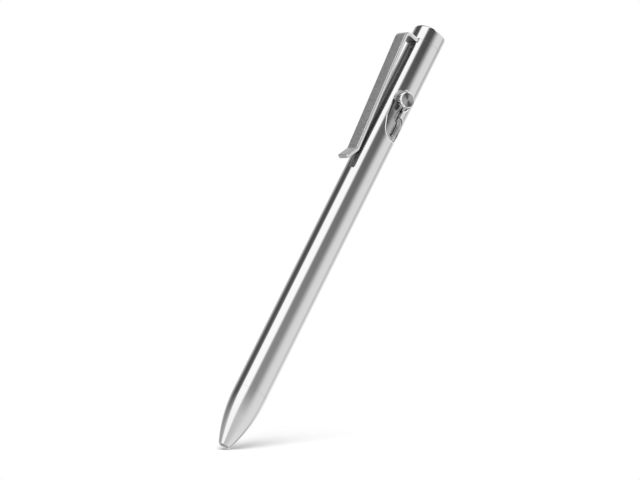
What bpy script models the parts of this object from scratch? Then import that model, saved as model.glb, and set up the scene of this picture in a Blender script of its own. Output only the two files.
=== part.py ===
"""Bolt action pen, retracted, lying on a table.

The pen lies along X with its writing end at +X. It rests on the plane z = 0 on one line of the
barrel and on the lower outer corner of its clip, and the middle of its length is at x = 0.
Places along the pen are written as distances from the tail end. Angles round the pen are turned
from the knob's own direction, away from the clip.
"""

import math

import bmesh
import bpy
from mathutils import Matrix, Vector

COLLECTION_NAME = "bolt_action_pen"
CUTTER_COLLECTION_NAME = "pen_cutters"

# Clearances, all in metres
running_gap = 0.0002
seat_gap = 0.00015
seam_gap = 0.0001
cut_overrun = 0.001

# Barrel
barrel_diameter = 0.00965
bore_diameter = 0.0066
seam_chamfer = 0.00012

# Nose cone and its thread
nose_length = 0.01715
nose_straight_length = 0.001
nose_tip_diameter = 0.0034
nose_tip_round = 0.00025
point_hole_diameter = 0.0027
spring_seat_from_tip = 0.0054
refill_stop_from_tip = 0.0093
nose_thread_diameter = 0.0083
nose_thread_pitch = 0.00075
nose_thread_depth = 0.00028
nose_thread_length = 0.006
nose_spigot_lead = 0.0005
oring_groove_width = 0.00075
oring_cord_diameter = 0.00054
oring_land = 0.0005

# End cap and its thread
cap_length = 0.0048
cap_edge_round = 0.00075
cap_stud_diameter = 0.0056
cap_stud_length = 0.0066
cap_thread_pitch = 0.00075
cap_thread_depth = 0.00028
rim_counterbore_diameter = 0.008
tail_web_end_from_tail = 0.0122

# Clip
clip_width = 0.00475
clip_thickness = 0.0012
clip_outer_bend = 0.0014
clip_top_reach = 0.00915
clip_foot_reach = 0.0065
clip_end_reach = 0.0085
clip_foot_from_tail = 0.0444
clip_end_from_tail = 0.0484
clip_foot_bend = 0.0015
clip_edge_round = 0.00018
clip_tab_inner_reach = 0.0031
clip_from_knob_angle = math.radians(81.0)

# Knob and carrier
knob_from_tail = 0.0245
knob_diameter = 0.00455
knob_face_reach = 0.00685
knob_underside_reach = 0.0052
knob_bevel = 0.0003
knob_neck_diameter = 0.00226
knob_stud_diameter = 0.0016
knob_stud_depth = 0.0021
carrier_length = 0.0158
knob_from_carrier_end = 0.0028
carrier_end_chamfer = 0.0003
carrier_groove_from_end = 0.0014
carrier_groove_width = 0.0007
carrier_groove_depth = 0.00025

# Slot that the knob's neck moves in
lock_travel = 0.0071
full_travel = 0.0098
turn_angle = math.radians(25.0)

# Shallow pocket milled round the slot
pocket_depth = 0.00083
pocket_fillet = 0.0002
pocket_top_radius = 0.0031
pocket_middle_from_knob = 0.00577
pocket_middle_radius = 0.0034
pocket_middle_angle = math.radians(9.6)
pocket_bottom_from_knob = 0.00863
pocket_bottom_radius = 0.00374

# Refill, ISO 12757 type G2
refill_length = 0.098
refill_diameter = 0.0059
refill_wall = 0.00035
refill_point_length = 0.0115
refill_neck_length = 0.004
refill_neck_diameter = 0.0035
refill_point_diameter = 0.0023
refill_cone_length = 0.0028
refill_cone_end_diameter = 0.0011
refill_channel_diameter = 0.0005
refill_ball_diameter = 0.0007
ball_socket_wall = 0.00012
refill_tip_inset = 0.004
plug_flange_length = 0.0022
plug_spigot_length = 0.0045
plug_vent_diameter = 0.0012
plug_chamfer = 0.00035
point_tail_length = 0.0028
follower_length = 0.004
empty_tube_length = 0.01585

# Return spring
spring_wire_diameter = 0.00035
spring_mean_diameter = 0.0044
spring_turns = 8

# Counts of facets
barrel_segments = 52
small_segments = 32
circle_points = 32
ogive_steps = 10
bend_steps = 6
cord_sides = 8
ball_segments = 16
ball_rings = 8
spring_points_a_turn = 10
wrap_step_angle = math.radians(5.0)
sharp_edge_angle = math.radians(50.0)

# Colors
polished_steel = (0.78, 0.78, 0.79)
satin_steel = (0.66, 0.66, 0.67)
yellow_brass = (0.73, 0.56, 0.28)
dark_carbide = (0.35, 0.35, 0.36)
black_rubber = (0.02, 0.02, 0.02)
off_white = (0.8, 0.8, 0.78)
black_ink = (0.01, 0.01, 0.02)
pale_grease = (0.7, 0.68, 0.5)

# Sizes worked out from those above
barrel_radius = barrel_diameter / 2
bore_radius = bore_diameter / 2
carrier_radius = bore_radius - running_gap
neck_radius = knob_neck_diameter / 2
slot_half_width = neck_radius + seat_gap
pocket_floor_radius = barrel_radius - pocket_depth
refill_radius = refill_diameter / 2
carrier_rear_from_tail = knob_from_tail - knob_from_carrier_end
refill_tail_from_tail = carrier_rear_from_tail + carrier_length + running_gap
refill_tip_from_tail = refill_tail_from_tail + refill_length
pen_length = refill_tip_from_tail + refill_tip_inset
nose_seam_from_tail = pen_length - nose_length
refill_shoulder_from_tail = refill_tip_from_tail - refill_point_length - refill_neck_length
nose_spigot_length = oring_land + oring_groove_width + oring_land + nose_thread_length
clip_tab_from_tail = cap_length + seat_gap + clip_thickness / 2
rim_depth = clip_thickness + 2 * seat_gap


def along(from_tail):
    """Place on the X axis of a distance from the tail end."""
    return from_tail - pen_length / 2


def clip_dip():
    """Angle below level of the clip when its lower outer corner and the barrel touch one plane."""
    half_width = clip_width / 2
    corner_reach = math.hypot(clip_top_reach, half_width)
    return math.asin(barrel_radius / corner_reach) - math.atan2(half_width, clip_top_reach)


def rest_roll():
    """Roll about X that brings the clip to its dip, on the side of -Y."""
    clip_direction = math.radians(90.0) + clip_from_knob_angle
    return math.radians(180.0) + clip_dip() - clip_direction


def axis_place():
    """Middle of the pen's axis: over the table by the barrel's radius, the width centred on y = 0."""
    clip_side = clip_top_reach * math.cos(clip_dip()) + clip_width / 2 * math.sin(clip_dip())
    return (0.0, (clip_side - barrel_radius) / 2, barrel_radius)


# Scene, collections and materials

def clear_scene():
    for obj in list(bpy.data.objects):
        bpy.data.objects.remove(obj, do_unlink=True)


def new_collection(name):
    collection = bpy.data.collections.new(name)
    bpy.context.scene.collection.children.link(collection)
    return collection


def new_material(name, color, roughness, metallic):
    material = bpy.data.materials.new(name)
    material.use_nodes = True
    shader = material.node_tree.nodes["Principled BSDF"]
    shader.inputs["Base Color"].default_value = (*color, 1.0)
    shader.inputs["Roughness"].default_value = roughness
    shader.inputs["Metallic"].default_value = metallic
    return material


def make_materials():
    """Each node's own material, by name, from (name, color, roughness, metallic)."""
    table = (
        ("barrel_steel", polished_steel, 0.16, 1.0), ("cap_steel", polished_steel, 0.16, 1.0),
        ("nose_steel", polished_steel, 0.18, 1.0), ("clip_steel", satin_steel, 0.35, 1.0),
        ("knob_steel", satin_steel, 0.3, 1.0), ("carrier_steel", satin_steel, 0.38, 1.0),
        ("tube_steel", satin_steel, 0.25, 1.0), ("spring_steel", satin_steel, 0.25, 1.0),
        ("point_brass", yellow_brass, 0.25, 1.0), ("ball_carbide", dark_carbide, 0.1, 1.0),
        ("ring_rubber", black_rubber, 0.6, 0.0), ("plug_plastic", off_white, 0.45, 0.0),
        ("ink", black_ink, 0.2, 0.0), ("follower_grease", pale_grease, 0.3, 0.0))
    return {row[0]: new_material(*row) for row in table}


def new_empty(collection, name, location, parent=None, roll=0.0):
    empty = bpy.data.objects.new(name, None)
    empty.location = location
    empty.rotation_euler = (roll, 0.0, 0.0)
    empty.parent = parent
    collection.objects.link(empty)
    return empty


def link_mesh(collection, name, mesh, material=None, parent=None):
    obj = bpy.data.objects.new(name, mesh)
    collection.objects.link(obj)
    obj.parent = parent
    if material:
        mesh.materials.append(material)
    return obj


# Shape helpers

def wire_profile(name, points, closed):
    """Mesh of one chain of edges in the XZ plane, from (height, radius) pairs."""
    edges = [(index, index + 1) for index in range(len(points) - 1)]
    if closed:
        edges.append((len(points) - 1, 0))
    mesh = bpy.data.meshes.new(name)
    mesh.from_pydata([(radius, 0.0, height) for height, radius in points], edges, [])
    return mesh


def spin(obj, segments):
    """Turn a profile once about the object's own Z axis."""
    screw = obj.modifiers.new("turned", "SCREW")
    screw.angle = math.radians(360.0)
    screw.steps = segments
    screw.render_steps = segments
    screw.use_merge_vertices = True
    screw.merge_threshold = seam_gap / 100
    screw.use_smooth_shade = True


def turned(collection, name, points, segments, material=None, parent=None, closed=False):
    """Turned piece on the pen's axis, from (distance from tail, radius) pairs.

    The pairs start at the end nearest the writing tip and run down the outer side.
    """
    heights = [(along(from_tail), radius) for from_tail, radius in points]
    obj = link_mesh(collection, name, wire_profile(name, heights, closed), material, parent)
    spin(obj, segments)
    obj.rotation_euler = (0.0, math.radians(90.0), 0.0)
    return obj


def as_cutter(obj):
    obj.hide_render = True
    obj.display_type = "WIRE"
    return obj


def cut(obj, cutter):
    boolean = obj.modifiers.new("cut by " + cutter.name, "BOOLEAN")
    boolean.operation = "DIFFERENCE"
    boolean.object = cutter


def arc_points(center_x, center_y, radius, start, end, steps):
    """Points of an arc from one angle to another, both ends included."""
    points = []
    for index in range(steps + 1):
        angle = start + (end - start) * index / steps
        points.append((center_x + radius * math.cos(angle), center_y + radius * math.sin(angle)))
    return points


def thread_profile(start, direction, crest_radius, depth, pitch, length):
    """Even grooves of a thread, from one end of it along the pen to the other."""
    points = []
    count = int(length / pitch)
    for index in range(count):
        base = start + direction * index * pitch
        points.append((base, crest_radius))
        points.append((base + direction * pitch / 2, crest_radius - depth))
    points.append((start + direction * count * pitch, crest_radius))
    return points


def filleted_path(corners, bend_radius):
    """Open path through the corners, each inner corner rounded to its own bend radius."""
    path = [Vector(corners[0])]
    for index in range(1, len(corners) - 1):
        corner = Vector(corners[index])
        before = (Vector(corners[index - 1]) - corner).normalized()
        after = (Vector(corners[index + 1]) - corner).normalized()
        half_angle = before.angle(after) / 2
        radius = bend_radius[index - 1]
        center = corner + (before + after).normalized() * (radius / math.sin(half_angle))
        first = corner + before * (radius / math.tan(half_angle)) - center
        turn = first.angle_signed(corner + after * (radius / math.tan(half_angle)) - center)
        for step in range(bend_steps + 1):
            path.append(center + Matrix.Rotation(-turn * step / bend_steps, 2) @ first)
    path.append(Vector(corners[-1]))
    return path


def strip_outline(path, thickness):
    """Closed outline of a strip of even thickness that follows a path."""
    left = []
    right = []
    for index, point in enumerate(path):
        into = (point - path[index - 1]).normalized() if index else None
        out = (path[index + 1] - point).normalized() if index < len(path) - 1 else None
        into = into or out
        out = out or into
        mean = (into + out).normalized()
        side = Vector((-mean.y, mean.x)) * (thickness / 2 / mean.dot(into))
        left.append(point + side)
        right.append(point - side)
    return left + right[::-1]


def flat_mesh(name, outline, half_width):
    """Mesh of a flat outline with a thickness, welded into one closed body."""
    curve = bpy.data.curves.new(name, "CURVE")
    curve.dimensions = "2D"
    curve.fill_mode = "BOTH"
    curve.extrude = half_width
    spline = curve.splines.new("POLY")
    spline.points.add(len(outline) - 1)
    for point, place in zip(spline.points, outline):
        point.co = (place[0], place[1], 0.0, 1.0)
    spline.use_cyclic_u = True
    return curve_mesh(name, curve)


def curve_mesh(name, curve):
    """Plain mesh of a curve, its caps welded on and its faces turned outwards."""
    source = bpy.data.objects.new(name, curve)
    bpy.context.scene.collection.objects.link(source)
    depsgraph = bpy.context.evaluated_depsgraph_get()
    mesh = bpy.data.meshes.new_from_object(source.evaluated_get(depsgraph))
    bpy.data.objects.remove(source, do_unlink=True)
    bpy.data.curves.remove(curve)
    shape = bmesh.new()
    shape.from_mesh(mesh)
    bmesh.ops.remove_doubles(shape, verts=shape.verts, dist=seam_gap / 100)
    bmesh.ops.recalc_face_normals(shape, faces=shape.faces)
    shape.to_mesh(mesh)
    shape.free()
    mesh.name = name
    return mesh


def round_edges(obj, width, segments):
    bevel = obj.modifiers.new("rounded edges", "BEVEL")
    bevel.width = width
    bevel.segments = segments
    bevel.limit_method = "ANGLE"
    bevel.angle_limit = sharp_edge_angle


def wrapped_cutter(collection, name, flat, inner_radius, outer_radius):
    """Cutter whose outline wraps round the pen between two radii.

    The outline is flat: places along X, and arcs measured on the barrel's surface. It is sliced
    along the pen into strips narrow enough to bend, and then bent round.
    """
    shape = bmesh.new()
    shape.faces.new([shape.verts.new((x, arc, 0.0)) for x, arc in flat])
    lowest = min(arc for x, arc in flat)
    highest = max(arc for x, arc in flat)
    strips = math.ceil((highest - lowest) / barrel_radius / wrap_step_angle)
    for index in range(1, strips):
        level = lowest + (highest - lowest) * index / strips
        bmesh.ops.bisect_plane(shape, geom=shape.faces[:] + shape.edges[:] + shape.verts[:],
                               dist=seam_gap / 100, plane_co=(0.0, level, 0.0),
                               plane_no=(0.0, 1.0, 0.0))
    grown = bmesh.ops.extrude_face_region(shape, geom=shape.faces[:])["geom"]
    upper = {item for item in grown if isinstance(item, bmesh.types.BMVert)}
    for vert in shape.verts:
        radius = outer_radius if vert in upper else inner_radius
        vert.co = round_the_pen(vert.co.x, vert.co.y / barrel_radius, radius)
    return finished_cutter(collection, name, shape)


def round_the_pen(x, angle, radius):
    """Point at an angle from the knob's direction and a distance from the pen's axis."""
    return Vector((x, radius * math.sin(angle), radius * math.cos(angle)))


def finished_cutter(collection, name, shape):
    bmesh.ops.recalc_face_normals(shape, faces=shape.faces)
    mesh = bpy.data.meshes.new(name)
    shape.to_mesh(mesh)
    shape.free()
    return as_cutter(link_mesh(collection, name, mesh))


def upright_cutter(collection, name, outline, inner_radius, outer_radius):
    """Cutter with walls that stand upright beside a line square to the pen's axis.

    Each point of the outline is (place along X, angle of its upright line, offset from it).
    """
    shape = bmesh.new()
    rings = []
    for radius in (inner_radius, outer_radius):
        ring = [shape.verts.new(round_the_pen(x, angle + math.asin(offset / radius), radius))
                for x, angle, offset in outline]
        shape.faces.new(ring)
        rings.append(ring)
    inner, outer = rings
    for index in range(len(outline)):
        shape.faces.new((inner[index - 1], inner[index], outer[index], outer[index - 1]))
    return finished_cutter(collection, name, shape)


# Barrel

def barrel_profile():
    """Closed section of the barrel: outer side from the nose to the tail, then the bores back."""
    front = nose_seam_from_tail - seam_gap / 2
    rear = cap_length + seam_gap
    thread_radius = nose_thread_diameter / 2
    thread_end = front - nose_spigot_length - running_gap
    rim_floor = cap_length + rim_depth
    stud_hole_radius = cap_stud_diameter / 2 + running_gap
    counterbore_radius = rim_counterbore_diameter / 2
    return [
        (front, barrel_radius - seam_chamfer),
        (front - seam_chamfer, barrel_radius),
        (rear + seam_chamfer, barrel_radius),
        (rear, barrel_radius - seam_chamfer),
        (rear, counterbore_radius),
        (rim_floor, counterbore_radius),
        (rim_floor, stud_hole_radius),
        (tail_web_end_from_tail, stud_hole_radius),
        (tail_web_end_from_tail, bore_radius),
        (thread_end, bore_radius),
        (thread_end, thread_radius),
        (front, thread_radius),
    ]


def left_tangent(first, second):
    """Direction out from two circles' centers to the line that touches both at their left."""
    gap = Vector(second[:2]) - Vector(first[:2])
    along_share = (first[2] - second[2]) / gap.length
    ahead = gap.normalized()
    left = Vector((ahead.y, -ahead.x))
    normal = ahead * along_share + left * math.sqrt(1.0 - along_share ** 2)
    return math.atan2(normal.y, normal.x) % math.radians(360.0)


def pocket_cutter(cutters):
    """Shallow pocket: a round seat at each end of the knob's path, joined along its left side."""
    top = (along(knob_from_tail), 0.0, pocket_top_radius)
    middle = (along(knob_from_tail + pocket_middle_from_knob),
              pocket_middle_angle * barrel_radius, pocket_middle_radius)
    bottom = (along(knob_from_tail + pocket_bottom_from_knob), turn_angle * barrel_radius,
              pocket_bottom_radius)
    upper_turn = left_tangent(top, middle)
    lower_turn = left_tangent(middle, bottom)
    last_turn = math.radians(540.0) + math.asin(bottom[1] / bottom[2])
    outline = arc_points(*top, 0.0, upper_turn, circle_points)
    outline += arc_points(*middle, upper_turn, lower_turn, bend_steps)
    outline += arc_points(*bottom, lower_turn, last_turn, circle_points)
    cutter = wrapped_cutter(cutters, "pocket_cutter", outline, pocket_floor_radius,
                            barrel_radius + cut_overrun)
    round_edges(cutter, pocket_fillet, 2)
    return cutter


def slot_outline():
    """J-shaped outline for the knob's neck, with a side notch at its upper end."""
    rest = along(knob_from_tail)
    locked = along(knob_from_tail + lock_travel)
    lowest = along(knob_from_tail + full_travel)
    half = slot_half_width
    quarter = math.radians(90.0)
    steps = circle_points // 4

    def corner(x, angle, start, end):
        count = round(abs(end - start) / quarter) * steps
        return [(px, angle, offset)
                for px, offset in arc_points(x, 0.0, half, start, end, count)]

    outline = corner(lowest, 0.0, 0.0, -quarter)
    outline += corner(rest, 0.0, -quarter, -2 * quarter)
    outline += corner(rest, turn_angle, -2 * quarter, -4 * quarter)
    outline += [(rest + half, 0.0, half), (locked - half, 0.0, half)]
    outline += corner(locked, turn_angle, 2 * quarter, quarter)
    outline += corner(lowest, turn_angle, quarter, 0.0)
    return outline


def slot_cutter(cutters):
    return upright_cutter(cutters, "slot_cutter", slot_outline(), bore_radius - running_gap,
                          barrel_radius + 2 * cut_overrun)


def clip_notch_cutter(cutters):
    """Block that opens the barrel's rim where the clip's tab passes in."""
    bpy.ops.mesh.primitive_cube_add(size=1.0)
    block = as_cutter(bpy.context.object)
    block.name = "clip_notch_cutter"
    for collection in list(block.users_collection):
        collection.objects.unlink(block)
    cutters.objects.link(block)
    middle_reach = (clip_tab_inner_reach + barrel_radius + cut_overrun) / 2
    block.scale = (2 * rim_depth, clip_width + 2 * seat_gap,
                   barrel_radius + cut_overrun - clip_tab_inner_reach)
    angle = -clip_from_knob_angle
    block.location = (along(cap_length), middle_reach * math.sin(angle),
                      middle_reach * math.cos(angle))
    block.rotation_euler = (-angle, 0.0, 0.0)
    return block


def make_barrel(parts, cutters, material, roll):
    barrel = turned(parts, "barrel", barrel_profile(), barrel_segments, material, roll, closed=True)
    for cutter in (clip_notch_cutter(cutters), slot_cutter(cutters), pocket_cutter(cutters)):
        cutter.parent = roll
        cut(barrel, cutter)


# End cap

def make_end_cap(parts, material, roll):
    """Flush cap with a rounded end edge and a threaded stud."""
    stud_radius = cap_stud_diameter / 2
    stud_end = cap_length + cap_stud_length
    thread_start = stud_end - cap_thread_pitch / 2
    thread_length = cap_stud_length - rim_depth - cap_thread_pitch
    quarter = math.radians(90.0)
    points = [(stud_end, 0.0), (stud_end, stud_radius - cap_thread_depth)]
    points += thread_profile(thread_start, -1, stud_radius, cap_thread_depth, cap_thread_pitch,
                             thread_length)
    points += [(cap_length, stud_radius), (cap_length, barrel_radius - seam_chamfer),
               (cap_length - seam_chamfer, barrel_radius)]
    round_center = barrel_radius - cap_edge_round
    for x, y in arc_points(cap_edge_round, round_center, cap_edge_round, quarter, 2 * quarter,
                           bend_steps):
        points.append((x, y))
    points.append((0.0, 0.0))
    turned(parts, "end_cap", points, barrel_segments, material, roll)


# Clip

def clip_path():
    """Middle line of the bent strip, as (place along X, distance from the pen's axis)."""
    half = clip_thickness / 2
    tab = along(clip_tab_from_tail)
    corners = [
        (tab, clip_tab_inner_reach),
        (tab, clip_top_reach - half),
        (along(clip_foot_from_tail), clip_foot_reach - half),
        (along(clip_end_from_tail), clip_end_reach - half),
    ]
    return filleted_path(corners, [clip_outer_bend - half, clip_foot_bend])


def make_clip(parts, material, roll):
    """Spring clip: tab under the cap, straight strip along the barrel, flared end."""
    angle = -clip_from_knob_angle
    pivot_x = along(clip_tab_from_tail)
    pivot = new_empty(parts, "clip_pivot", (pivot_x, barrel_radius * math.sin(angle),
                                            barrel_radius * math.cos(angle)), roll)
    outline = [(point.x - pivot_x, point.y - barrel_radius)
               for point in strip_outline(clip_path(), clip_thickness)]
    mesh = flat_mesh("pocket_clip", outline, clip_width / 2)
    clip = link_mesh(parts, "pocket_clip", mesh, material, pivot)
    clip.rotation_euler = (math.radians(90.0) - angle, 0.0, 0.0)
    round_edges(clip, clip_edge_round, 2)


# Knob and carrier

def make_knob(parts, material, pivot):
    """Turned knob: flat disc head, plain neck in the slot and a stud in the carrier."""
    head_radius = knob_diameter / 2
    neck_foot = carrier_radius + running_gap
    stud_radius = knob_stud_diameter / 2
    stud_foot = carrier_radius - knob_stud_depth
    points = [
        (knob_face_reach, 0.0),
        (knob_face_reach, head_radius - knob_bevel),
        (knob_face_reach - knob_bevel, head_radius),
        (knob_underside_reach + knob_bevel, head_radius),
        (knob_underside_reach, head_radius - knob_bevel),
        (knob_underside_reach, neck_radius),
        (neck_foot, neck_radius),
        (neck_foot, stud_radius),
        (stud_foot, stud_radius),
        (stud_foot, 0.0),
    ]
    obj = link_mesh(parts, "bolt_knob", wire_profile("bolt_knob", points, False), material, pivot)
    spin(obj, small_segments)
    obj.location = (along(knob_from_tail), 0.0, 0.0)


def make_carrier(parts, cutters, material, pivot, roll):
    """Plunger that the knob is screwed into and that pushes the refill."""
    rear = carrier_rear_from_tail
    front = rear + carrier_length
    groove_front = rear + carrier_groove_from_end + carrier_groove_width
    groove_rear = rear + carrier_groove_from_end
    groove_radius = carrier_radius - carrier_groove_depth
    points = [
        (front, 0.0),
        (front, carrier_radius - carrier_end_chamfer),
        (front - carrier_end_chamfer, carrier_radius),
        (groove_front, carrier_radius),
        (groove_front, groove_radius),
        (groove_rear, groove_radius),
        (groove_rear, carrier_radius),
        (rear + carrier_end_chamfer, carrier_radius),
        (rear, carrier_radius - carrier_end_chamfer),
        (rear, 0.0),
    ]
    carrier = turned(parts, "bolt_carrier", points, barrel_segments, material, pivot)
    hole_radius = knob_stud_diameter / 2 + seat_gap
    hole_foot = carrier_radius - knob_stud_depth - seat_gap
    hole_top = carrier_radius + cut_overrun
    hole = [(hole_top, 0.0), (hole_top, hole_radius), (hole_foot, hole_radius), (hole_foot, 0.0)]
    cutter = as_cutter(link_mesh(cutters, "knob_hole_cutter",
                                 wire_profile("knob_hole_cutter", hole, False)))
    spin(cutter, small_segments)
    cutter.location = (along(knob_from_tail), 0.0, 0.0)
    cutter.parent = roll
    cut(carrier, cutter)


# Nose cone

def ogive_profile():
    """Outer side of the nose, an arc tangent to its short straight part behind."""
    drop = barrel_radius - nose_tip_diameter / 2
    taper_length = nose_length - nose_straight_length
    arc_radius = (taper_length ** 2 + drop ** 2) / (2 * drop)
    arc_length = taper_length - nose_tip_round
    points = []
    for index in range(ogive_steps, 0, -1):
        reach = arc_length * index / ogive_steps
        radius = barrel_radius - arc_radius + math.sqrt(arc_radius ** 2 - reach ** 2)
        points.append((pen_length - taper_length + reach, radius))
    return points


def make_nose_cone(parts, material, pivot):
    """Hollow nose: point hole, spring seat, refill bore and a threaded spigot with its groove."""
    seam = nose_seam_from_tail + seam_gap / 2
    spigot_radius = nose_thread_diameter / 2 - running_gap
    oring_floor = spigot_radius - oring_cord_diameter
    hole_radius = point_hole_diameter / 2
    spring_bore = (spring_mean_diameter + spring_wire_diameter) / 2 + seat_gap
    refill_bore = refill_radius + running_gap
    groove_front = seam - oring_land
    groove_rear = groove_front - oring_groove_width
    thread_front = groove_rear - oring_land
    spigot_end = seam - nose_spigot_length
    tip_round = nose_tip_round
    points = [
        (pen_length, hole_radius + (nose_tip_diameter / 2 - hole_radius) / 4),
        (pen_length, nose_tip_diameter / 2 - tip_round / 2),
    ]
    points += ogive_profile()
    points += [
        (seam + seam_chamfer, barrel_radius),
        (seam, barrel_radius - seam_chamfer),
        (seam, spigot_radius),
        (groove_front, spigot_radius),
        (groove_front, oring_floor),
        (groove_rear, oring_floor),
        (groove_rear, spigot_radius),
    ]
    thread_room = nose_thread_length - nose_spigot_lead
    points += thread_profile(thread_front, -1, spigot_radius, nose_thread_depth,
                             nose_thread_pitch, thread_room)
    points += [
        (spigot_end + nose_spigot_lead / 2, spigot_radius - nose_thread_depth),
        (spigot_end, spigot_radius - nose_thread_depth),
        (spigot_end, refill_bore),
        (pen_length - refill_stop_from_tip, refill_bore),
        (pen_length - refill_stop_from_tip, spring_bore),
        (pen_length - spring_seat_from_tip, spring_bore),
        (pen_length - spring_seat_from_tip, hole_radius),
        (pen_length - tip_round, hole_radius),
    ]
    turned(parts, "nose_cone", points, barrel_segments, material, pivot, closed=True)


def make_nose_oring(parts, material, pivot):
    """Rubber ring in the groove of the nose's spigot."""
    spigot_radius = nose_thread_diameter / 2 - running_gap
    cord_radius = oring_cord_diameter / 2
    center_radius = spigot_radius - cord_radius + seam_gap / 2
    center = nose_seam_from_tail + seam_gap / 2 - oring_land - oring_groove_width / 2
    full_turn = math.radians(360.0)
    points = arc_points(center, center_radius, cord_radius, 0.0, full_turn, cord_sides)[:-1]
    turned(parts, "nose_oring", points, small_segments, material, pivot, closed=True)


# Refill

def make_refill_tube(parts, material, pivot):
    """Steel tube with its front end drawn down to a neck."""
    shoulder = refill_shoulder_from_tail
    neck_front = shoulder + refill_neck_length
    neck_radius_outer = refill_neck_diameter / 2
    tube_rear = refill_tail_from_tail + plug_flange_length
    points = [
        (neck_front, neck_radius_outer),
        (shoulder + refill_wall, neck_radius_outer),
        (shoulder, neck_radius_outer + refill_wall),
        (shoulder, refill_radius - refill_wall),
        (shoulder - refill_wall, refill_radius),
        (tube_rear, refill_radius),
        (tube_rear, refill_radius - refill_wall),
        (shoulder - 2 * refill_wall, refill_radius - refill_wall),
        (shoulder - refill_wall, refill_radius - 2 * refill_wall),
        (shoulder - refill_wall, neck_radius_outer - refill_wall),
        (neck_front, neck_radius_outer - refill_wall),
    ]
    turned(parts, "refill_tube", points, small_segments, material, pivot, closed=True)


def make_refill_plug(parts, material, pivot):
    """Vented plastic plug in the refill's tail end."""
    tail = refill_tail_from_tail
    flange_front = tail + plug_flange_length - seam_gap
    spigot_front = flange_front + plug_spigot_length
    spigot_radius = refill_radius - refill_wall - seam_gap
    vent_radius = plug_vent_diameter / 2
    points = [
        (spigot_front, spigot_radius - plug_chamfer),
        (spigot_front - plug_chamfer, spigot_radius),
        (flange_front, spigot_radius),
        (flange_front, refill_radius),
        (tail + plug_chamfer, refill_radius),
        (tail, refill_radius - plug_chamfer),
        (tail, vent_radius),
        (spigot_front, vent_radius),
    ]
    turned(parts, "refill_plug", points, small_segments, material, pivot, closed=True)


def make_refill_point(parts, material, pivot):
    """Writing point: tail in the neck, straight shank, cone and ball socket."""
    shank_rear = refill_shoulder_from_tail + refill_neck_length + seam_gap
    tip = refill_tip_from_tail - refill_ball_diameter / 2
    cone_rear = refill_tip_from_tail - refill_cone_length
    cone_end = refill_cone_end_diameter / 2
    shank_radius = refill_point_diameter / 2
    tail_rear = shank_rear - point_tail_length
    channel_radius = refill_channel_diameter / 2
    socket_radius = refill_ball_diameter / 2 + seam_gap / 2
    collar_radius = refill_neck_diameter / 2 - refill_wall - seam_gap
    points = [
        (tip, socket_radius + ball_socket_wall),
        (tip - refill_ball_diameter, cone_end),
        (cone_rear, shank_radius),
        (shank_rear, shank_radius),
        (shank_rear - seam_gap, collar_radius),
        (tail_rear, collar_radius),
        (tail_rear, channel_radius),
        (tip - refill_ball_diameter, channel_radius),
        (tip - refill_ball_diameter / 2, socket_radius),
        (tip, socket_radius),
    ]
    turned(parts, "refill_point", points, small_segments, material, pivot, closed=True)


def make_refill_ball(parts, material, pivot):
    radius = refill_ball_diameter / 2
    bpy.ops.mesh.primitive_uv_sphere_add(segments=ball_segments, ring_count=ball_rings,
                                         radius=radius)
    ball = bpy.context.object
    ball.name = "refill_ball"
    for collection in list(ball.users_collection):
        collection.objects.unlink(ball)
    parts.objects.link(ball)
    ball.data.materials.append(material)
    ball.data.shade_smooth()
    ball.location = (along(refill_tip_from_tail) - radius, 0.0, 0.0)
    ball.parent = pivot


def make_ink(parts, ink_material, follower_material, pivot):
    """Ink column in the tube with a grease follower behind it."""
    radius = refill_radius - refill_wall - running_gap
    follower_rear = (refill_tail_from_tail + plug_flange_length + plug_spigot_length
                     + empty_tube_length)
    follower_front = follower_rear + follower_length
    follower = [(follower_front, 0.0), (follower_front, radius), (follower_rear, radius),
                (follower_rear, 0.0)]
    turned(parts, "refill_follower", follower, small_segments, follower_material, pivot)
    front = refill_shoulder_from_tail - 2 * refill_wall - running_gap
    rear = follower_front + seat_gap
    ink = [(front, 0.0), (front, radius), (rear, radius), (rear, 0.0)]
    turned(parts, "refill_ink", ink, small_segments, ink_material, pivot)


# Spring

def make_spring(parts, material, pivot):
    """Open coil spring between the nose's seat and the refill's shoulder."""
    wire_radius = spring_wire_diameter / 2
    coil_radius = spring_mean_diameter / 2
    rear = along(refill_shoulder_from_tail) + seat_gap + wire_radius
    front = along(pen_length - spring_seat_from_tip) - seat_gap - wire_radius
    curve = bpy.data.curves.new("return_spring", "CURVE")
    curve.dimensions = "3D"
    curve.bevel_depth = wire_radius
    curve.bevel_resolution = 1
    curve.use_fill_caps = True
    count = spring_turns * spring_points_a_turn
    spline = curve.splines.new("POLY")
    spline.points.add(count)
    for index, point in enumerate(spline.points):
        share = index / count
        angle = share * spring_turns * math.radians(360.0)
        point.co = (rear + (front - rear) * share, coil_radius * math.sin(angle),
                    coil_radius * math.cos(angle), 1.0)
    link_mesh(parts, "return_spring", curve_mesh("return_spring", curve), material, pivot)


# Whole pen

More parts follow.
